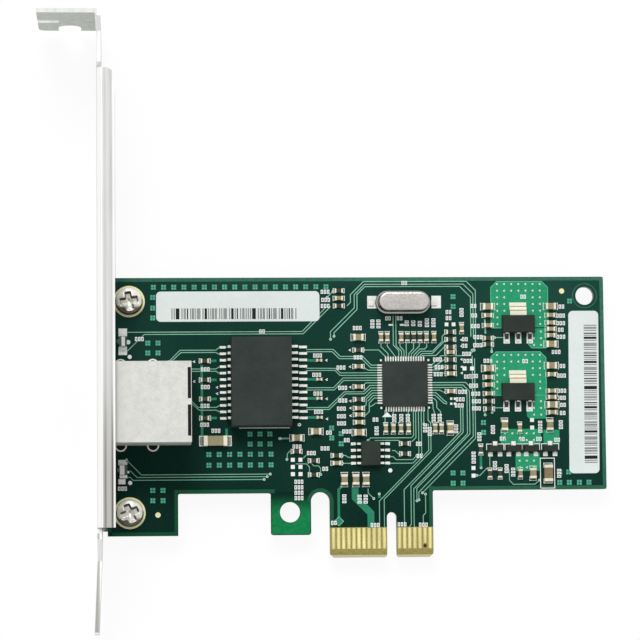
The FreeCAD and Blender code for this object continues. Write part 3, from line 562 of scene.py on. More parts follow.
# Outlines of the copper areas.
POURS = [
    [(20.15, 45.0), (31.5, 45.0), (31.5, 53.05), (30.3, 54.25), (21.35, 54.25), (20.15, 53.05)],
    [(28.2, 41.0), (31.0, 41.0), (31.0, 45.0), (27.6, 45.0), (27.6, 41.6)],
    [(20.0, 31.65), (30.95, 31.65), (30.95, 39.1), (29.8, 40.25), (21.0, 40.25), (20.0, 39.25)],
    [(27.5, 27.0), (30.8, 27.0), (30.8, 31.65), (27.0, 31.65), (27.0, 27.5)],
    [(21.7, 21.9), (29.7, 21.9), (29.7, 25.0), (21.7, 25.0)],
    [(30.2, 21.9), (33.4, 21.9), (33.4, 24.8), (30.2, 24.8)],
    [(24.6, 16.7), (29.4, 16.7), (29.4, 20.2), (24.6, 20.2)],
]
# Tracks on the front, by their width.
TRACK = 0.16
TRACKS = {
    TRACK: [
        [(-8.4, 49.5), (-7.7, 50.2), (-7.7, 51.7), (-5.1, 54.3), (15.3, 54.3), (17.1, 52.5),
         (17.0, 41.3), (16.3, 40.6)],
        [(-11.7, 42.9), (-11.7, 44.4), (-6.95, 49.1), (-6.95, 51.7), (-4.9, 53.75), (14.7, 53.75),
         (16.6, 51.8), (16.6, 43.0)],
        [(-11.0, 43.5), (-11.0, 44.2), (-6.4, 48.8), (-6.4, 51.7), (-4.8, 53.3), (14.0, 53.3),
         (16.1, 51.2), (16.1, 43.3)], [(0.7, 47.5), (0.7, 41.7), (1.75, 40.6), (1.75, 39)],
        [(1.25, 47.5), (1.25, 41.5), (2.3, 40.5), (2.3, 39)],
        [(-1.75, 42.4), (-1.75, 41.4), (-0.35, 40), (-0.35, 39)],
        [(-0.5, 42.4), (-0.5, 41.5), (1.1, 39.4)],
        [(2.0, 42.3), (2.05, 41.4), (2.8, 40.6), (2.8, 39)], [(3.25, 42.2), (3.25, 39)],
        [(4.7, 42.2), (4.7, 41), (3.75, 40), (3.75, 39)],
        [(5.85, 42.2), (5.85, 41.5), (4.25, 39.9), (4.25, 39)],
        [(7.3, 42), (7.3, 41.3), (6.9, 40.9), (5.9, 40.9), (4.75, 39.7), (4.75, 39)],
        [(10.9, 43.9), (10.4, 43.4), (10.4, 42.4), (8.45, 40.45), (6.1, 40.45), (5.25, 39.6),
         (5.25, 39)], [(11, 42.6), (8.4, 40), (6.4, 40), (5.75, 39.4), (5.75, 39)],
        [(11, 41.5), (9.1, 39.6), (6.3, 39.6)],
        [(-5.2, 40.75), (-2.2, 40.75), (-0.85, 39.4), (-0.85, 39)],
        [(-16.5, 40.9), (-11.2, 40.9), (-9.8, 39.5), (-5.4, 39.5), (-3.7, 37.75), (-2.2, 37.75)],
        [(-16.5, 40.45), (-11.4, 40.45), (-10, 39.05), (-5.6, 39.05), (-3.85, 37.25),
         (-2.2, 37.25)], [(-5.3, 37.5), (-4.7, 36.95), (-4.2, 36.75), (-2.2, 36.75)],
        [(-16.6, 37.2), (-10.8, 37.15), (-9.8, 36.25), (-2.2, 36.25)],
        [(-16.6, 36.75), (-10.9, 36.75), (-9.9, 35.75), (-2.2, 35.75)],
        [(-16.6, 33.35), (-11.2, 33.35), (-9.3, 35.25), (-2.2, 35.25)],
        [(-16.6, 32.9), (-11.05, 32.9), (-9.2, 34.75), (-2.2, 34.75)],
        [(-5.35, 33.7), (-4.85, 34.25), (-2.2, 34.25)],
        [(-16.6, 29.45), (-12.3, 29.45), (-9.1, 32.5), (-5.3, 32.5), (-4.05, 33.75),
         (-2.2, 33.75)],
        [(-16.6, 29.05), (-12.1, 29.05), (-8.9, 32.1), (-5.1, 32.1), (-3.9, 33.25), (-2.2, 33.25)],
        [(-5.4, 31), (-3.7, 32.75), (-2.2, 32.75)],
        [(-5.4, 29.5), (-4.8, 29.9), (-4.8, 31), (-3.55, 32.25), (-2.2, 32.25)],
        [(-4.5, 30.6), (-3.4, 31.75), (-2.2, 31.75)],
        [(-5.4, 27.95), (-4.85, 27.95), (-4.2, 28.6), (-4.2, 30.25), (-3.2, 31.25), (-2.2, 31.25)],
        [(-4.1, 29.6), (-3.7, 29.7), (-2.9, 30.25), (-2.2, 30.25)],
        [(8, 37.75), (8.3, 37.75), (10.1, 39.55), (15.6, 39.55), (16.7, 40.6)],
        [(8, 37.25), (8.4, 37.25), (10.8, 38.8)],
        [(8, 36.75), (9.7, 36.75), (10.4, 37.3), (11.1, 37.3)],
        [(8, 36.25), (10, 36.25), (11.1, 36)], [(8, 34.25), (14.9, 34.25), (15.9, 33.25)],
        [(8, 33.75), (14.4, 33.75), (15.65, 32.5), (15.65, 24.1), (5.0, 13.45), (5.0, 11.0)],
        [(8, 33.25), (14.1, 33.25), (15.15, 32.2), (15.15, 24.1), (4.4, 13.35), (4.4, 6.3),
         (4.5, 5.8)], [(8, 32.75), (9.8, 32.75), (10.4, 32.4)],
        [(8, 32.25), (9, 32.25), (10.6, 30.7), (11.2, 30.3)],
        [(8, 31.75), (8.85, 31.75), (10.5, 30.2), (11.2, 30)],
        [(8, 31.25), (8.8, 31), (9.15, 30.5), (9.15, 29.3), (9.9, 28.5), (9.9, 26.1)],
        [(8, 30.75), (8.4, 30.35), (8.4, 29.1), (8.75, 28.1), (8.75, 26.2)],
        [(-1.1, 28.9), (-1.1, 26.3)], [(0.5, 28.9), (0.5, 26.1)], [(3.5, 28.9), (3.5, 26.1)],
        [(4.5, 28.9), (4.5, 23.8), (4.1, 23.4), (-4.0, 23.4), (-4.5, 22.9)],
        [(4.95, 28.9), (4.95, 23.4), (4.1, 22.6)], [(5.5, 28.9), (5.5, 19.6)],
        [(6.05, 28.9), (6.05, 19.9)], [(6.55, 28.9), (6.55, 26.1)],
        [(7.4, 29.6), (7.4, 26.8), (7.9, 26.3), (7.9, 20.7), (1.0, 13.8), (-1.45, 11.35),
         (-1.45, 5.8)], [(7.45, 26.1), (7.45, 20.85), (0.4, 13.8), (-2.4, 11.0), (-2.4, 5.8)],
        [(13.85, 29.3), (13.85, 24.6), (2.5, 13.2), (2.5, 5.8)],
        [(14.3, 29.3), (14.3, 24.4), (3.85, 13.95), (3.85, 6.4), (3.5, 6.0), (3.5, 5.8)],
        [(16.3, 39.5), (16.3, 23.6), (6.0, 13.3), (5.4, 12.7), (5.4, 11.2)],
        [(16.75, 39), (16.75, 23.2), (6.55, 13.0), (6.1, 12.55)],
        [(6.7, 12.3), (6.7, 8.6), (6.2, 8.1), (6.2, 6.9), (6.5, 5.8)],
        [(-4.6, 13.5), (-4.6, 12.6), (-3.5, 11.5)],
        [(0.2, 20.9), (0.8, 20.9), (1.5, 20.2), (2, 20.2)],
        [(-0.2, 19.7), (0.4, 19.7), (1, 19.1), (4.3, 19.1), (5.1, 19.9)],
        [(-0.2, 18.4), (4.3, 18.4), (6, 20.1)], [(-3.2, 22.9), (1.5, 22.9), (2, 22.4)],
        [(-9.6, 20), (-9, 20), (-8.4, 19.6), (-7.6, 19.6)], [(-9.6, 18.45), (-7.6, 18.45)],
        [(-51.7, 44.45), (-17.3, 44.45), (-12.4, 49.4)],
        [(-51.7, 40.7), (-48.35, 44), (-17.1, 44), (-11.6, 49.4)], [(-12.3, 51.2), (-11.1, 52.4)],
        [(-43.6, 38.6), (-41.35, 40.85), (-34.3, 40.85), (-33.6, 41.4)],
        [(-43.1, 38.6), (-41.15, 40.4), (-34.3, 40.4), (-33.6, 40)],
        [(-39.3, 37.15), (-34.3, 37.15), (-33.6, 37.6)],
        [(-39.3, 36.7), (-34.3, 36.7), (-33.6, 36.2)],
        [(-39.3, 31.05), (-37.85, 29.6), (-34.3, 29.6), (-33.6, 29.95)],
        [(-39.3, 30.5), (-37.6, 29.05), (-34.3, 29.05), (-33.6, 28.7)],
        [(-51.9, 19.4), (-49, 16.45), (-23.8, 16.45)],
        [(-51.2, 17.3), (-49.85, 15.95), (-24.4, 15.95)],
        [(-52, 16), (-51.2, 16), (-50.6, 15.4), (-25, 15.4)], [(20.8, 43.1), (22.8, 43.1)],
        [(20.6, 29.2), (22.4, 29.2)], [(20.1, 30.5), (20.1, 28.3)],
        [(16.9, 15.9), (17.5, 15.9), (18.9, 17.3)], [(19.5, 19.9), (19.5, 17.6)],
        [(23.35, 16.5), (23.35, 14.9), (24.1, 14.1), (28.4, 14.1), (29.3, 14.9)],
        [(22.7, 17.6), (23.4, 16.7)], [(-16.7, 20.1), (-17.3, 19.5)],
        [(-18.8, 18.4), (-16.7, 18.4), (-16.1, 17.8), (-16.1, 16.3)],
        [(-16, 18.7), (-15.2, 18), (-14.3, 18), (-13.9, 17.5), (-13.9, 16.3)],
        [(-19.9, 21), (-20.4, 20.4), (-20.5, 19.3)],
    ],
    0.3: [
        [(20.2, 43.1), (20.2, 40.3)], [(18.9, 46.8), (19, 43.9)], [(-21.9, 23.4), (-19.9, 23.4)],
    ],
    0.5: [
        [(-2.4, 12.4), (-2.4, 11.6)], [(-32.3, 25.4), (-32.3, 23.9)], [(-37.1, 38), (-37.1, 24)],
        [(18.7, 28.9), (18.7, 27.8)], [(17.75, 20.2), (17.75, 17.4)],
        [(-9.4, 14.3), (-10.4, 13.3), (-10.4, 7.9)],
    ],
    1.35: [[(-7.15, 13.7), (-7.15, 11.7), (-4.1, 8.65), (-4.1, 5.8)]],
}
TRACKS[0.5] += [[(-35.4, y), (-34.2, y)] for y in (38.75, 35, 31.25, 27.5)]
TRACKS[0.5] += [[(-16.6, y), (-14.7, y)] for y in (38.75, 35, 31.25, 27.5)]

fine_copper, wide_copper = Layer(), Layer(LOW_COPPER)
for width, lines in TRACKS.items():
    for line in lines:
        (fine_copper if width < 0.4 else wide_copper).track(line, width)
DIAMOND = [(-10.4, 6.2), (-9.5, 7.1), (-10.4, 8.0), (-11.3, 7.1)]
fine_copper.track(DIAMOND + DIAMOND[:1], 0.14)
wide_copper.prism(DIAMOND)
fine_copper.build("board_tracks", "track")
wide_copper.build("wide_tracks", "wide")

rim = Layer()
for line in RIM_LINES:
    rim.track(line, EDGE_BAND)
rim.ring(*SUPPORT_HOLE, 2.5, 2.3)
rim.build("board_border", "rim")
field = Layer(LOW_COPPER)
field.frame(*HOOK, *HOOK_HOLE)
field.build("hook_field", "hook")

# Each marked square is four small ones with narrow gaps between.
squares = Layer()
QUARTER, QUARTER_SIZE = 0.26, 0.43
for x, y in SQUARES:
    for dx in (-QUARTER, QUARTER):
        for dy in (-QUARTER, QUARTER):
            squares.rect(x + dx, y + dy, QUARTER_SIZE, QUARTER_SIZE)
squares.build("copper_squares", "square")

pours = Layer()
for outline in POURS:
    pours.prism(outline)
pours.build("copper_areas", "pour")
edges = Layer(INK)
for outline in POURS[:3]:
    edges.track(outline + outline[:1], 0.14)
edges.build("copper_area_edges", "pour_edge")


# -------------------- chips: pads, solder, ink
pads, ink, fillets = Layer(PAD), Layer(INK), Shape()


def across(x, y, dx, dy, out, side, z):
    """Point at a distance along (dx, dy), and to one side of that line."""
    return x + dx * out - dy * side, y + dy * out + dx * side, z


def pad_under(x, y, sideways, deep, wide, inset):
    """Pad whose length runs along X, if sideways, or along Y."""
    size = (deep, wide) if sideways else (wide, deep)
    pads.rect(x, y, *size, inset=inset)


def wedge(x, y, dx, dy, run, width, rise):
    """Solder fillet that climbs from a pad towards the chip; (dx, dy) points outwards."""
    foot = BOARD_Z[FRONT] + PAD
    profile = ((0, 1, 0), (0, 0.86, 1), (0.42, 0.84, 0.3), (1, 0.8, 0))
    fillets.skin([[across(x, y, dx, dy, run * out, side * wide * width / 2, foot + rise * up)
                   for out, wide, up in profile] for side in (1, -1)])


# How far each kind of chip's pads reach past its ends, and how far out its ink is (0: no ink).
CHIPS = {
    "tiny_capacitor": (0.12, 0), "small_capacitor": (0.14, 0.34),
    "medium_capacitor": (0.16, 0.42), "large_capacitor": (0.45, 0),
    "small_resistor": (0.14, 0.3), "surge_capacitor": (0.9, 0),
}
LINE, FINE_LINE = 0.15, 0.11
for kind, (past, drawn) in CHIPS.items():
    ends = islands(kind + "_ends")
    for body in islands(kind + "_bodies"):
        cx, cy, _ = middle(body)
        for low, high in sorted(ends, key=lambda end: math.dist(middle(end)[:2], (cx, cy)))[:2]:
            x, y, _ = middle((low, high))
            length = math.hypot(x - cx, y - cy)
            dx, dy = round((x - cx) / length), round((y - cy) / length)
            deep, wide = [high[i] - low[i] for i in ((0, 1) if dx else (1, 0))]
            pad_under(x + dx * past / 2, y + dy * past / 2, dx, deep + past, wide + 0.1, 0.03)
            wedge(x + dx * deep / 2, y + dy * deep / 2, dx, dy, past * 0.85, wide,
                  (high[2] - low[2]) * 0.6)
            if drawn:
                out, half, back = deep / 2 + drawn, wide / 2 + 0.04, 0.16
                ink.track([across(x, y, dx, dy, far, side, 0)[:2]
                           for far, side in ((out - back, half), (out, half), (out, -half),
                                             (out - back, -half))], FINE_LINE)


# -------------------- pads of the leaded parts
def leads_of(node_name):
    """Place at the body, direction, length and width of each lead of one package."""
    solids = islands(node_name)
    xs, ys, _ = zip(*(middle(box) for box in solids))
    cx, cy = (min(xs) + max(xs)) / 2, (min(ys) + max(ys)) / 2
    reach_x = max(abs(x - cx) for x in xs)
    for x, y, (low, high) in zip(xs, ys, solids):
        sx, sy = high[0] - low[0], high[1] - low[1]
        sideways = abs(x - cx) > reach_x - 0.3 and sx > sy
        dx, dy = (math.copysign(1, x - cx), 0) if sideways else (0, math.copysign(1, y - cy))
        deep, wide = (sx, sy) if dx else (sy, sx)
        yield x - dx * deep / 2, y - dy * deep / 2, dx, dy, deep, wide


def lead_pads(node_name, past, extra, foot=0.9):
    """Pads under the toes of the leads of one package."""
    for x, y, dx, dy, deep, wide in leads_of(node_name):
        under = min(deep, foot)
        out = deep - (under - past) / 2
        pad_under(x + dx * out, y + dy * out, dx, under + past, wide + extra, 0.02)


def bent_strip(shape, x, y, dx, dy, path, thickness, width):
    """Lead of even thickness along a path of (distance from the body, height)."""
    start = len(shape.verts)
    for i, (out, z) in enumerate(path):
        before, after = path[max(i - 1, 0)], path[min(i + 1, len(path) - 1)]
        run, climb = after[0] - before[0], after[1] - before[1]
        size = math.hypot(run, climb)
        shape.verts += [across(x, y, dx, dy, out + climb / size * lower, side,
                               z - run / size * lower)
                        for lower in (0, thickness) for side in (-width / 2, width / 2)]
    last = len(shape.verts) - 4
    shape.faces += [[start, start + 2, start + 3, start + 1],
                    [last, last + 1, last + 3, last + 2]]
    for a in range(start, last, 4):
        b = a + 4
        shape.faces += [[a, a + 1, b + 1, b], [a + 2, b + 2, b + 3, a + 3],
                        [a, b, b + 2, a + 2], [a + 1, a + 3, b + 3, b + 1]]


def gull(shoulder, tip, top, toe, drop=0.12):
    """Path of a lead with a flat shoulder, a steep step down and a flat foot."""
    return [(-0.05, top), (shoulder - drop, top), (shoulder, top - 0.1),
            (shoulder + 0.06, toe + 0.14), (shoulder + 0.06 + drop, toe), (tip, toe)]


def bent_leads(node_name, left, right, thickness, extra=0.0):
    """Bent leads in place of one node's plain ones, with a path for those that point to -X."""
    shape = Shape()
    for x, y, dx, dy, _, wide in leads_of(node_name):
        bent_strip(shape, x, y, dx, dy, left if dx < 0 else right, thickness, wide + extra)
    made = shape.build(node_name + "_bent", "lead", "tinned_metal")
    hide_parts(node_name)


bent_leads("transformer_leads", gull(0.66, 2.05, 2.9, 1.02), gull(1.35, 3.12, 2.9, 1.02),
           0.2, -0.06)
MEMORY_LEAD = gull(0.78, 1.4, 1.55, 1.0, 0.08)
bent_leads("memory_chip_leads", MEMORY_LEAD, MEMORY_LEAD, 0.15)

# Paths of the regulators' narrow legs and wide tabs.
LEG = [(-0.05, 1.72), (0.2, 1.72), (0.32, 1.64), (1.25, 1.02), (1.4, 0.98), (1.75, 0.98)]
TAB = [(-0.05, 1.72), (0.84, 1.72), (0.9, 1.4), (1.0, 1.4), (1.04, 1.56), (1.6, 1.22),
       (1.66, 0.9), (1.76, 0.9), (1.8, 1.0), (2.4, 0.98)]
TAB_WIDTH, SHEET = 2, 0.14
for node_name in ("regulator_1_leads", "regulator_2_leads"):
    legs, tab = Shape(), Shape()
    for x, y, dx, dy, _, wide in leads_of(node_name):
        if wide > TAB_WIDTH:
            bent_strip(tab, x, y, dx, dy, TAB, SHEET, wide + 0.3)
            pads.rect(x, y + dy * 1.8, wide + 0.4, 1.5)
        else:
            bent_strip(legs, x, y, dx, dy, LEG, SHEET, wide - 0.12)
            pads.track([(x + side * 0.48, y + dy * out)
                        for side, out in ((-1, 0.05), (-1, 1.95), (1, 1.95), (1, 0.05))], 0.28)
    made = legs.build(node_name + "_legs", "lead", "tinned_metal")
    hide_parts(node_name)
    tab.build(node_name + "_tab", "tab", "tinned_metal")

lead_pads("memory_chip_leads", 0.85, 0.16, foot=0.1)
lead_pads("transistor_leads", 0.3, 0.5)
lead_pads("controller_contacts", 0.28, 0.02)
for x in (-3.43, 9.3):
    pads.rect(x, 50.2, 1.9, 2.5, inset=0.03)
for x, y, wide, tall in ((-52.55, 44.4, 1.7, 1.6), (-52.55, 40.75, 1.7, 1.6),
                         (-52.8, 18.85, 1.4, 1.1), (-52.8, 15.15, 1.4, 1.0)):
    pads.rect(x, y, wide, tall, inset=0.04)

# Pairs of pads that stay empty: middle, upright or not, half their distance, size.
EMPTY = [(12.0, 45.75, 0, 0.7, 0.75), (15.5, 37.0, 0, 0.75, 0.8), (12.4, 31.04, 0, 0.36, 0.46),
         (12.4, 30.05, 0, 0.36, 0.46), (28.0, 26.0, 1, 0.75, 0.8), (16.25, 16.6, 1, 0.75, 0.8)]
EMPTY += [(-18.6, y, 0, 0.75, 0.8) for y in (19.2, 17.8, 16.4)]
for x, y, upright, reach, size in EMPTY:
    for shift in (-reach, reach):
        dx, dy = (0, shift) if upright else (shift, 0)
        pads.rect(x + dx, y + dy, size, size, inset=0.03)
for x in (0.25, 2.5):
    pads.rect(x, 45.7, 0.9, 0.35)

pads.build("solder_pads", "solder", "tinned_metal")
fillets.build("solder_fillets", "fillet", "tinned_metal")


# -------------------- vias
VIAS = [(-11.7, 42.9), (-11.0, 43.5), (-12.3, 51.2), (-11.1, 52.4), (16.3, 40.6), (16.7, 40.6),
        (-43.6, 38.6), (-43.1, 38.6), (-39.3, 37.15), (-39.3, 36.7), (-39.3, 31.05), (-39.3, 30.5),
        (-51.9, 19.4), (-23.8, 16.45), (-24.4, 15.95), (-25, 15.4), (20.8, 43.1), (20.2, 40.3),
        (20.1, 28.3), (18.7, 27.8), (17.75, 17.4), (16.9, 15.9), (29.3, 14.9), (-21.9, 23.4),
        (-20.5, 19.3), (-16.1, 16.3), (-13.9, 16.3), (-5.2, 40.75), (15.9, 33.25), (9.9, 26.1),
        (8.75, 26.2), (-1.1, 26.3), (0.5, 26.1), (3.5, 26.1), (6.55, 26.1), (-4.5, 22.9),
        (5.1, 19.9), (6, 20.1), (2, 20.2), (2, 22.4), (-9.6, 20), (-9.6, 18.45), (5.0, 11.0),
        (5.4, 11.2), (6.1, 12.55), (6.7, 12.3), (-2.4, 12.4), (-3.5, 11.5)]


def via_grid(low, high, *holes):
    """Grid of places in a field, away from the parts that stand on it."""
    step_x, step_y = 1.42, 1.33
    for i in range(int((high[0] - low[0]) / step_x) + 1):
        for j in range(int((high[1] - low[1]) / step_y) + 1):
            x, y = low[0] + i * step_x, low[1] + j * step_y
            if not any(a <= x <= c and b <= y <= d for a, b, c, d in holes):
                yield x, y


POUR_VIAS = [
    *via_grid((21.4, 45.75), (30.6, 53.8), (23.3, 47.6, 27.6, 51.3), (21.9, 43.0, 29.0, 47.8)),
    *via_grid((28.6, 41.6), (30.6, 44.4), (27.0, 41.0, 28.4, 45.0)),
    *via_grid((21.2, 33.0), (30.4, 39.7), (23.0, 34.2, 27.5, 37.6), (21.6, 30.0, 28.8, 34.4)),
    *via_grid((28.4, 27.8), (30.4, 31.0)),
    *via_grid((22.6, 22.8), (29.2, 24.4), (23.0, 21.0, 25.0, 23.4)),
    *via_grid((25.4, 17.4), (29.0, 19.6)),
]
VIA_RADIUS = 0.27


def via_layers(places, side, hole, dot, names, ring_finish):
    """Rings of the vias on one side of the board, and dark dots of painted shade in their holes.
    """
    rings, dots = Layer(PAD, side=side), Layer(INK, side=side)
    for x, y in places:
        rings.ring(x, y, VIA_RADIUS, hole, 10)
        dots.disc(x, y, dot, 8)
    rings.build(names[0], ring_finish)
    dots.build(names[1], "hole")


via_layers(VIAS, FRONT, 0.08, 0.09, ("via_rings", "via_hole_shade"), "mint")

# The vias in the copper areas and some others show only a glint: a painted highlight, drawn as a
# short white line with a bend.
OTHER_VIAS = [(-12.55, y) for y in (38.76, 34.93, 31.16, 27.19)]
OTHER_VIAS += [(-7.9, y) for y in (40.74, 37.45, 33.42, 30.7, 29.3, 27.8)]
OTHER_VIAS += [(14.2, y) for y in (42.67, 41.44, 38.82, 37.33, 36.1)] + [(10.8, 32.35)]
OTHER_VIAS += [(-38.6, 38.6), (-38.6, 34.7), (-34.1, 33.5), (-34.1, 32.3), (-21.8, 23.4)]
painted_via_glints = Layer(INK)
for places, half, back, width in ((POUR_VIAS, 0.16, 0.12, 0.13), (OTHER_VIAS, 0.2, 0.15, 0.15)):
    for x, y in places:
        painted_via_glints.track([(x + half, y + half), (x - back, y), (x + half, y - half)], width)
painted_via_glints.build("via_glint_marks", "ink")


# -------------------- white ink
def block_row(x, y, count, upright):
    """Row of small empty frames where the board has a reference mark."""
    step, wide, tall, stroke = 0.62, 0.47, 0.8, 0.16
    a, b = (tall / 2, wide / 2) if upright else (wide / 2, tall / 2)
    for i in range(count):
        shift = (i - (count - 1) / 2) * step
        cx, cy = (x, y + shift) if upright else (x + shift, y)
        for side in (-1, 1):
            ink.rect(cx + side * (a - stroke / 2), cy, stroke, 2 * b)
            ink.rect(cx, cy + side * (b - stroke / 2), 2 * a - 2 * stroke, stroke)


# Middles of the rows, by the number of their frames and whether they run up the board.
MARKS = {
    (2, False): [
        (3.0, 54.0), (-0.3, 47), (2, 47), (11.7, 48.2), (11.7, 47), (14.9, 42.8), (14.8, 41.5),
        (-12.2, 24.5), (-8.7, 23), (-3, 27), (5.5, 22.2), (5.6, 19.8), (16.7, 49.4), (16.8, 47.5),
        (34.2, 49.2), (34.0, 44.6), (26.6, 51.2), (26.8, 38.4), (34.2, 37.4), (34.2, 29.7),
        (34.1, 28.1), (22.1, 23.1), (25.9, 23), (29.3, 23), (32.9, 22.8), (-25.2, 44.5),
        (-13, 17.4), (-11.4, 6.8),
    ],
    (3, False): [
        (-6.4, 45.1), (-6.3, 39.3), (-9.7, 37.3), (9.4, 38.8), (15.2, 39.9), (15.4, 38.5),
        (9.7, 37.3), (9.5, 35.9), (15.5, 35.4), (-9.4, 33.3), (-9.4, 30.8), (-9.7, 29.2),
        (-9.7, 27.7), (-9.7, 26.3), (-8.7, 24.7), (14.3, 32.4), (13.8, 30.9), (13.6, 29.7),
        (17, 45.4), (17.5, 43.2), (17.4, 41.6), (34.0, 47.4), (34.0, 45.9), (34.0, 43.2),
        (33, 40.2), (19.4, 38.5), (34.0, 35.5), (16.5, 35.5), (16.5, 33.6), (16.9, 32), (17, 30.5),
        (17, 29.1), (34, 32.5), (33.9, 31.1), (-49.3, 43.1), (-36.4, 37.1), (-36.4, 33.6),
        (-36.5, 29.9), (-36.6, 26.2), (-34.4, 25), (-52.7, 13.8), (-12.7, 52.3), (-12.6, 50.7),
        (-12.7, 49.5), (-14.3, 39.7), (-14.5, 35.9), (-14.3, 32.2), (-14.2, 28.6), (-18.5, 21.8),
        (-15.7, 20.5), (-13, 21.4), (-18.2, 14.9), (-18.2, 13.8), (-18.2, 12.75), (-18.2, 11.7),
        (-3.3, 6.3), (2, 6.4), (6.2, 6.3),
    ],
    (2, True): [(3.4, 46), (4.7, 46), (6, 45.9)],
    (3, True): [
        (-3.4, 45.9), (-2.2, 45.9), (7.4, 46.1), (8.7, 46.1), (14.3, 48.1), (-2.8, 24.8),
        (0.7, 27.2), (2.1, 27.2), (3.4, 27.2), (8.5, 27.2), (9.7, 27.2), (6.8, 25.3), (7.7, 24.6),
        (12.9, 25.1), (20.2, 24.9), (17.5, 23.5), (33.7, 25.8), (20.5, 17.8), (22.8, 17.2),
        (24.1, 16.5), (33.2, 16.2), (-9.3, 11.5), (-6.3, 11.4), (-5.1, 11.4),
    ],
    (4, True): [(29.6, 25.4), (16.3, 19.4)],
}
for (count, upright), places in MARKS.items():
    for x, y in places:
        block_row(x, y, count, upright)

for x, y, radius in ((-51.2, 39.6, 0.42), (-51.2, 14.9, 0.42), (-0.2, 17.0, 0.42),
                     (-51.5, 42.5, 0.45), (-51.55, 17.0, 0.26)):
    ink.disc(x, y, radius)
ink.ring(-18.0, 26.1, 0.34, 0.14, 12)
ink.prism([(-1.7, 27.5), (0.3, 27.5), (-0.7, 28.5)])
ink.track([(-29.8, 25.5), (-19.85, 25.5)], LINE)
ink.track([(29.5, 13.3), (32.3, 13.3), (32.3, 19.2), (29.5, 19.2), (29.5, 13.3)], LINE)
for low, high in islands("transistor_bodies"):
    x, y = (low[0] + high[0]) / 2, high[1] + 0.3
    for side in (-1, 1):
        ink.track([(x + side * 1.7, y - 1.2), (x + side * 1.7, y), (x + side * 0.6, y)], LINE)
(x0, y0, _), (x1, y1, _) = node_mm("controller_body")
for x in (x0 - 0.2, x1 + 0.2):
    for y in (y0 - 0.2, y1 + 0.2):
        ink.disc(x, y, 0.22, 10)
ink.build("white_marks", "ink")


def base_over(node_name, sunk=0.0):
    """Height of a node's top over the board's face."""
    return node_mm(node_name)[1][2] - BOARD_Z[FRONT] - sunk


strips = Layer(0.03, base_over("status_led_bodies", 0.01))
for box, (shift, wide) in zip(sorted(islands("status_led_bodies"), key=lambda b: b[0][1]),
                              ((-0.24, 0.9), (0.05, 0.66))):
    x, y, _ = middle(box)
    strips.rect(x + shift, y, wide, 1.84)
strips.build("status_led_strips", "ink", "tinned_metal")


# -------------------- rings round the holes
gold_rings = Layer(PAD)
for box in islands("bracket_screws"):
    gold_rings.ring(*middle(box)[:2], 3.1, 1.7)
for x, y in ((34.3, 52.3), (-45.8, 8.6)):
    gold_rings.disc(x, y, 0.52, 20)
gold_rings.build("screw_pads", "cream", "gold_plating")

JACK_LEG_X, JACK_MIDDLE = (-53.0, -46.7), 30
# Painted shade: the dark discs in the leg rings stand for the shade in the holes.
bright_rings, leg_hole_shades = Layer(PAD), Layer(COPPER / 2)
for x in JACK_LEG_X:
    for side in (-1, 1):
        y = JACK_MIDDLE + 0.1 + side * 7.9
        bright_rings.ring(x, y, 1.2, 0.93, 28)
        leg_hole_shades.disc(x, y, 0.91, 24)
bright_rings.build("jack_leg_rings", "ink", "tinned_metal")
leg_hole_shades.build("jack_leg_hole_shade", "hole")

# Painted shade: dark strips on the shield's rear fold, where the gap behind its top sheet lies in
# shade.
gap_shades = Layer(0.02, base_over("jack_shield"))
for side in (-1, 1):
    gap_shades.rect(node_mm("jack_shield")[1][0] - 0.24, JACK_MIDDLE + side * 3.6, 0.26, 6.0)
gap_shades.build("jack_rear_gap_shade", "hole", "shield_plate")

# Painted highlight: a lighter stripe down the middle of each gold contact.
painted_sheen = Layer(0.01, base_over("edge_contacts_front"))
for low, high in islands("edge_contacts_front"):
    painted_sheen.prism(rounded((low[0] + 0.16, low[1] + 0.12), (high[0] - 0.16, high[1] - 0.05), 0.15))
painted_sheen.build("contact_painted_sheen", "painted_sheen", "gold_plating")
spot = Layer(PAD)
spot.disc(6.5, 2.2, 0.34, 12)
spot.build("contact_spot", "burr")


# -------------------- labels
LABEL_RADIUS = 0.9
# Widths of the bars in label units, where a negative one is black, and of the gaps.
BARS = (1, 1, -3, 1, 2, -1, 1, -1, 1, 3, 1, -2, 1, 1, -1, 2, 1, 1, 3, 1, -2, 1, -1, 1, 2, 1)
GAPS = (1, 1, 2, 1, 1, 2, 1, 1, 1, 2, 1, 1, 1)
GAP_SHARE = 0.8
# Shares of the label's thickness that are paper and print.
PAPER, PRINT = 0.8, 0.12


def label(node_name, lean, along_y, start, end, low_across, high_across, unit):
    """Paper label with a row of plain bars in grey and black."""
    low, high = node_mm(node_name)
    middle_y, thick = (low[1] + high[1]) / 2, high[2] - low[2]

    def leaning(points):
        return [(x + (y - middle_y) * lean, y) for x, y in points]

    paper = Layer(thick * PAPER)
    paper.prism(leaning(rounded(low, high, LABEL_RADIUS)),
                leaning(rounded(low, high, LABEL_RADIUS, 0.04)))
    face = paper.build(node_name + "_face", "paper", "label_film")
    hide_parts(node_name)
    layers = {shade: Layer(thick * PRINT, thick * PAPER) for shade in ("grey_print", "print")}
    at, index = start, 0
    while at < end:
        bar = BARS[index % len(BARS)]
        to = at + abs(bar) * unit
        corners = [(at, low_across), (to, low_across), (to, high_across), (at, high_across)]
        layers["print" if bar < 0 else "grey_print"].prism(
            leaning([(b, a) for a, b in corners] if along_y else corners))
        at = to + GAPS[index % len(GAPS)] * unit * GAP_SHARE
        index += 1
    for shade, layer in layers.items():
        layer.build(node_name + "_" + shade, shade, "label_film")


label("address_label", 0.0, False, -43.0, -18.2, 46.95, 49.1, 0.24)
label("serial_label", 0.009, True, 18.2, 45.7, 38.45, 41.0, 0.22)


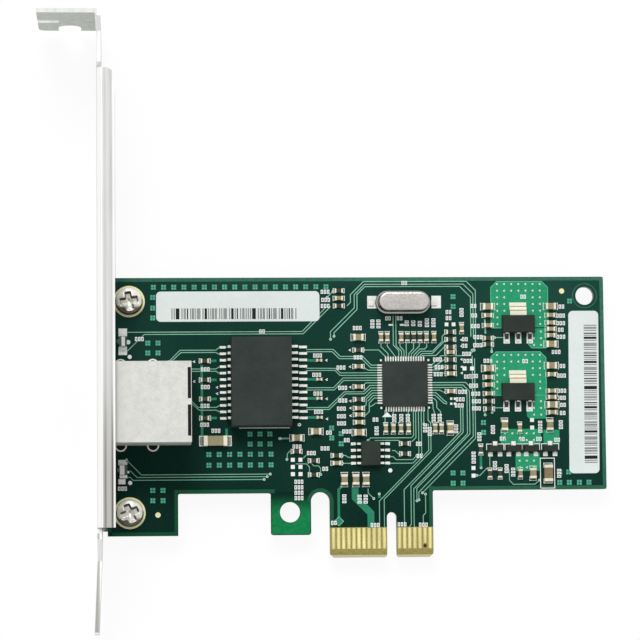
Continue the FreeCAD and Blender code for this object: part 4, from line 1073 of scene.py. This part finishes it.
# -------------------- crystal can
(x0, y0, z0), (x1, y1, z1) = node_mm("crystal_can")
CAN_SHIFT, CAN_GROW = (0.06, 0.1), 0.14
can_low = (x0 + CAN_SHIFT[0] - CAN_GROW, y0 + CAN_SHIFT[1] - CAN_GROW)
can_high = (x1 + CAN_SHIFT[0] + CAN_GROW, y1 + CAN_SHIFT[1] + CAN_GROW)
can_radius = (y1 - y0) / 2 + CAN_GROW
# Side of the drawn can from its foot to its top: inset, and share of its height.
CAN = ((0.0, 0.0), (0.0, 0.10), (0.08, 0.14), (0.34, 0.16), (0.40, 0.20), (0.42, 0.86),
       (0.46, 0.93), (0.56, 0.975), (0.72, 0.995), (0.95, 1.0))
can = Shape()
can.skin([level(rounded(can_low, can_high, can_radius, inset, 7), z0 + (z1 - z0) * up)
          for inset, up in CAN])
made = can.build("crystal_can_drawn", "can", "can_metal", smooth=True)
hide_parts("crystal_can")
base = Shape()
base.skin([level(rounded(can_low, can_high, can_radius, -0.02, 7), corner[2])
           for corner in node_mm("crystal_base")])
made = base.build("crystal_base_plate", "black", "socket_plastic", smooth=True)
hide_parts("crystal_base")


# -------------------- bracket screws
HEAD_SIDES, HEAD_RINGS, HEAD_RADIUS, SHANK_RADIUS = 72, 16, 2.7, 1.45
DOME, RECESS, SLOT_HALF, REACH, CROSS_MIDDLE = 0.62, 1.15, 0.52, 1.62, 0.9
SIDE_SLOPE, END_SLOPE = 0.12, 0.16


def head_height(u, v, radius, top, turn):
    """Height of the domed head, with the cross recess in it, at (u, v) from its middle."""
    a = abs(u * math.cos(turn) + v * math.sin(turn))
    b = abs(v * math.cos(turn) - u * math.sin(turn))
    arm = max(min(a, b) - SLOT_HALF, 0) / SIDE_SLOPE
    length = max(max(a, b) - REACH, 0) / END_SLOPE
    open_share = 1.0 if radius < CROSS_MIDDLE else max(0.0, 1 - arm) * max(0.0, 1 - length)
    dome = top - DOME * (radius / HEAD_RADIUS) ** 2.4
    return dome - RECESS * open_share * (1 - 0.35 * min(1, radius / REACH))


screws = Shape()
RIM = BOARD_Z[FRONT]
for box, degrees in zip(islands("bracket_screws"), (23, 9)):
    (cx, cy, _), foot, top = middle(box), box[0][2], box[1][2]
    outlines = [[(cx, cy, top - RECESS)] * HEAD_SIDES]
    for step in range(1, HEAD_RINGS):
        radius = HEAD_RADIUS * step / HEAD_RINGS
        outlines.append([(cx + u, cy + v, head_height(u, v, radius, top, math.radians(degrees)))
                         for u, v in circle(0, 0, radius, HEAD_SIDES)])
    outlines += [level(circle(cx, cy, radius, HEAD_SIDES), z) for radius, z in (
        (HEAD_RADIUS, RIM + 0.55), (HEAD_RADIUS, RIM + 0.3), (HEAD_RADIUS - 0.12, RIM + 0.06),
        (SHANK_RADIUS, RIM + 0.06), (SHANK_RADIUS, foot + 0.3), (SHANK_RADIUS - 0.3, foot))]
    screws.skin(outlines)
made = screws.build("bracket_screws_cross", "screw", "screw_steel", smooth=True)
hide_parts("bracket_screws")


# -------------------- softened edges
BEVELS = {"mounting_bracket": 0.26, "jack_shield": 0.1, "jack_housing": 0.12,
          "transformer_body": 0.14, "controller_body": 0.1, "memory_chip_body": 0.08,
          "regulator_1_body": 0.1, "regulator_2_body": 0.1, "transistor_bodies": 0.06,
          "status_led_bodies": 0.08, "small_capacitor_ends": 0.06,
          "small_capacitor_bodies": 0.05, "medium_capacitor_ends": 0.08,
          "medium_capacitor_bodies": 0.06, "large_capacitor_ends": 0.1,
          "surge_capacitor_ends": 0.12, "surge_capacitor_bodies": 0.1,
          "small_resistor_ends": 0.04, "crystal_leads": 0.08, "transistor_leads": 0.04}
for node_name, width in BEVELS.items():
    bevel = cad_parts[node_name].modifiers.new("soft_edge", "BEVEL")
    bevel.width = width * MM
    bevel.segments = 2
    bevel.limit_method = "ANGLE"
    bevel.angle_limit = math.radians(40)


# -------------------- the back of the board
BACK_LINES = [
    [(-55.2, 4.6), (-55.2, 54.75), (42.2, 54.75), (42.2, 13.45), (8.3, 13.45)],
    [(-12.9, 13.3), (-16.25, 13.3), (-16.25, 5.0), (-23.3, 5.0), (-23.3, 13.1), (-42.25, 13.1),
     (-42.25, 4.9), (-55.1, 4.9)],
]
BACK_TRACKS = [
    [(-51.5, 44.45), (-49.0, 46.9), (-13.6, 46.9), (-11.7, 45.0), (-11.7, 42.9)],
    [(-51.5, 40.9), (-46.2, 46.2), (-13.9, 46.2), (-11.0, 43.5)],
    [(-39.3, 37.15), (-44.9, 37.15), (-45.8, 36.2), (-45.8, 34.0)],
    [(-39.3, 36.7), (-44.4, 36.7), (-45.2, 35.9), (-45.2, 33.0)], [(-39.3, 31.05), (-43.6, 31.05)],
    [(-39.3, 30.5), (-43.6, 30.5)], [(-43.6, 38.6), (-47.2, 35.0), (-47.2, 33.6)],
    [(-43.1, 38.6), (-46.6, 35.1), (-46.6, 33.2)],
    [(16.3, 40.6), (18.6, 38.3), (18.6, 30.0), (20.1, 28.3)],
    [(16.7, 40.6), (19.2, 38.1), (31.0, 38.1), (33.0, 36.1), (33.0, 20.0), (29.3, 14.9)],
    [(-20.5, 19.3), (-14.0, 25.8), (-14.0, 36.0), (-9.0, 41.0), (-5.2, 40.75)],
    [(-23.8, 16.45), (-18.0, 22.2), (-6.0, 22.2), (-4.5, 22.9)],
    [(-24.4, 15.95), (-17.6, 21.6), (-4.0, 21.6), (2, 20.2)],
    [(9.9, 26.1), (11.6, 27.8), (11.6, 31.0), (10.4, 32.4)],
    [(8.75, 26.2), (8.75, 22.0), (12.0, 18.7), (16.9, 15.9)],
    [(5.0, 11.0), (5.0, 7.0), (4.5, 5.8)], [(5.4, 11.2), (5.5, 5.8)], [(-3.5, 11.5), (-3.5, 5.8)],
    [(7.5, 11.4), (7.5, 5.8)], [(2.5, 12.0), (2.5, 5.8)],
]
for name, lines, width, colour in (("back_border", BACK_LINES, EDGE_BAND, "rim"),
                                   ("back_tracks", BACK_TRACKS, TRACK, "track")):
    layer = Layer(side=BACK)
    for line in lines:
        layer.track(line, width)
    layer.build(name, colour)
via_layers(VIAS + POUR_VIAS, BACK, 0.12, 0.13, ("back_via_rings", "back_via_hole_shade"), "track")

solder = Shape()


def cone(x, y, base_radius, top_radius, height, sides=20):
    """Solder that climbs round a pin on the back of the board."""
    solder.skin([level(circle(x, y, radius, sides), BOARD_Z[BACK] - down) for radius, down in (
        (base_radius, 0.0), (base_radius, 0.06), (base_radius * 0.72, height * 0.35),
        (top_radius, height), (top_radius * 0.5, height * 1.1))])


# The contacts come through the board at their far ends.
for low, high in islands("jack_contacts"):
    cone(high[0] - 0.2, (low[1] + high[1]) / 2, 0.5, 0.24, 0.95)
for x in JACK_LEG_X:
    for side in (-1, 1):
        cone(x, JACK_MIDDLE + side * 8, 1.2, 0.5, 0.85, 28)
solder.build("jack_solder", "solder", "tinned_metal", smooth=True)


# -------------------- floor, light and camera
FLOOR_GAP, FLOOR_HALF = 0.0001, 3.0
floor_z = cad_box[0][2] - FLOOR_GAP
mesh = bpy.data.meshes.new("floor")
mesh.from_pydata([(x * FLOOR_HALF, y * FLOOR_HALF, floor_z)
                  for x, y in ((-1, -1), (1, -1), (1, 1), (-1, 1))], [], [(0, 1, 2, 3)])
floor = bpy.data.objects.new("floor", mesh)
bpy.context.scene.collection.objects.link(floor)
# The floor looks white, but lights the card like a pale sheet.
FLOOR_GLOW, GLOW_SHARE = 1.02, 0.9
made = bpy.data.materials.new("pale_floor")
made.use_nodes = True
nodes = Nodes(made.node_tree)
nodes.tree.nodes.remove(nodes.shader)
diffuse = nodes.new("ShaderNodeBsdfDiffuse", {"Color": linear((240, 240, 240))})
glow = nodes.new("ShaderNodeEmission", {"Strength": FLOOR_GLOW})
seen = nodes.math("MULTIPLY", nodes.seen_directly(), GLOW_SHARE)
mixed = nodes.new("ShaderNodeMixShader", {0: seen, 1: diffuse.outputs[0], 2: glow.outputs[0]})
nodes.feed(mixed.outputs[0], nodes.tree.nodes["Material Output"].inputs["Surface"])
mesh.materials.append(made)

# The surroundings look white too, and light the card less than that.
AMBIENT = 0.52
scene = bpy.context.scene
world = bpy.data.worlds.new("studio")
scene.world = world
world.use_nodes = True
nodes = Nodes(world.node_tree)
background = world.node_tree.nodes["Background"]
background.inputs["Color"].default_value = (1, 1, 1, 1)
nodes.feed(nodes.span(nodes.seen_directly(), 0.0, 1.0, AMBIENT, 1.0),
           background.inputs["Strength"])

sun = bpy.data.lights.new("soft_key", "SUN")
sun.energy = 1.8
sun.angle = math.radians(30)
key = bpy.data.objects.new("soft_key", sun)
key.rotation_euler = (math.radians(-38), math.radians(-10), 0)
scene.collection.objects.link(key)

camera = bpy.data.cameras.new("view")
camera.lens = 168.85
camera.sensor_width = 36.0
camera.clip_end = 20.0
eye = bpy.data.objects.new("view", camera)
eye.location = (-0.05083, -0.00633, 0.58883)
eye.rotation_euler = (math.radians(5.179), math.radians(-3.56), math.radians(-0.544))
scene.collection.objects.link(eye)
scene.camera = eye
scene.view_settings.view_transform = "Standard"

bpy.context.view_layer.update()
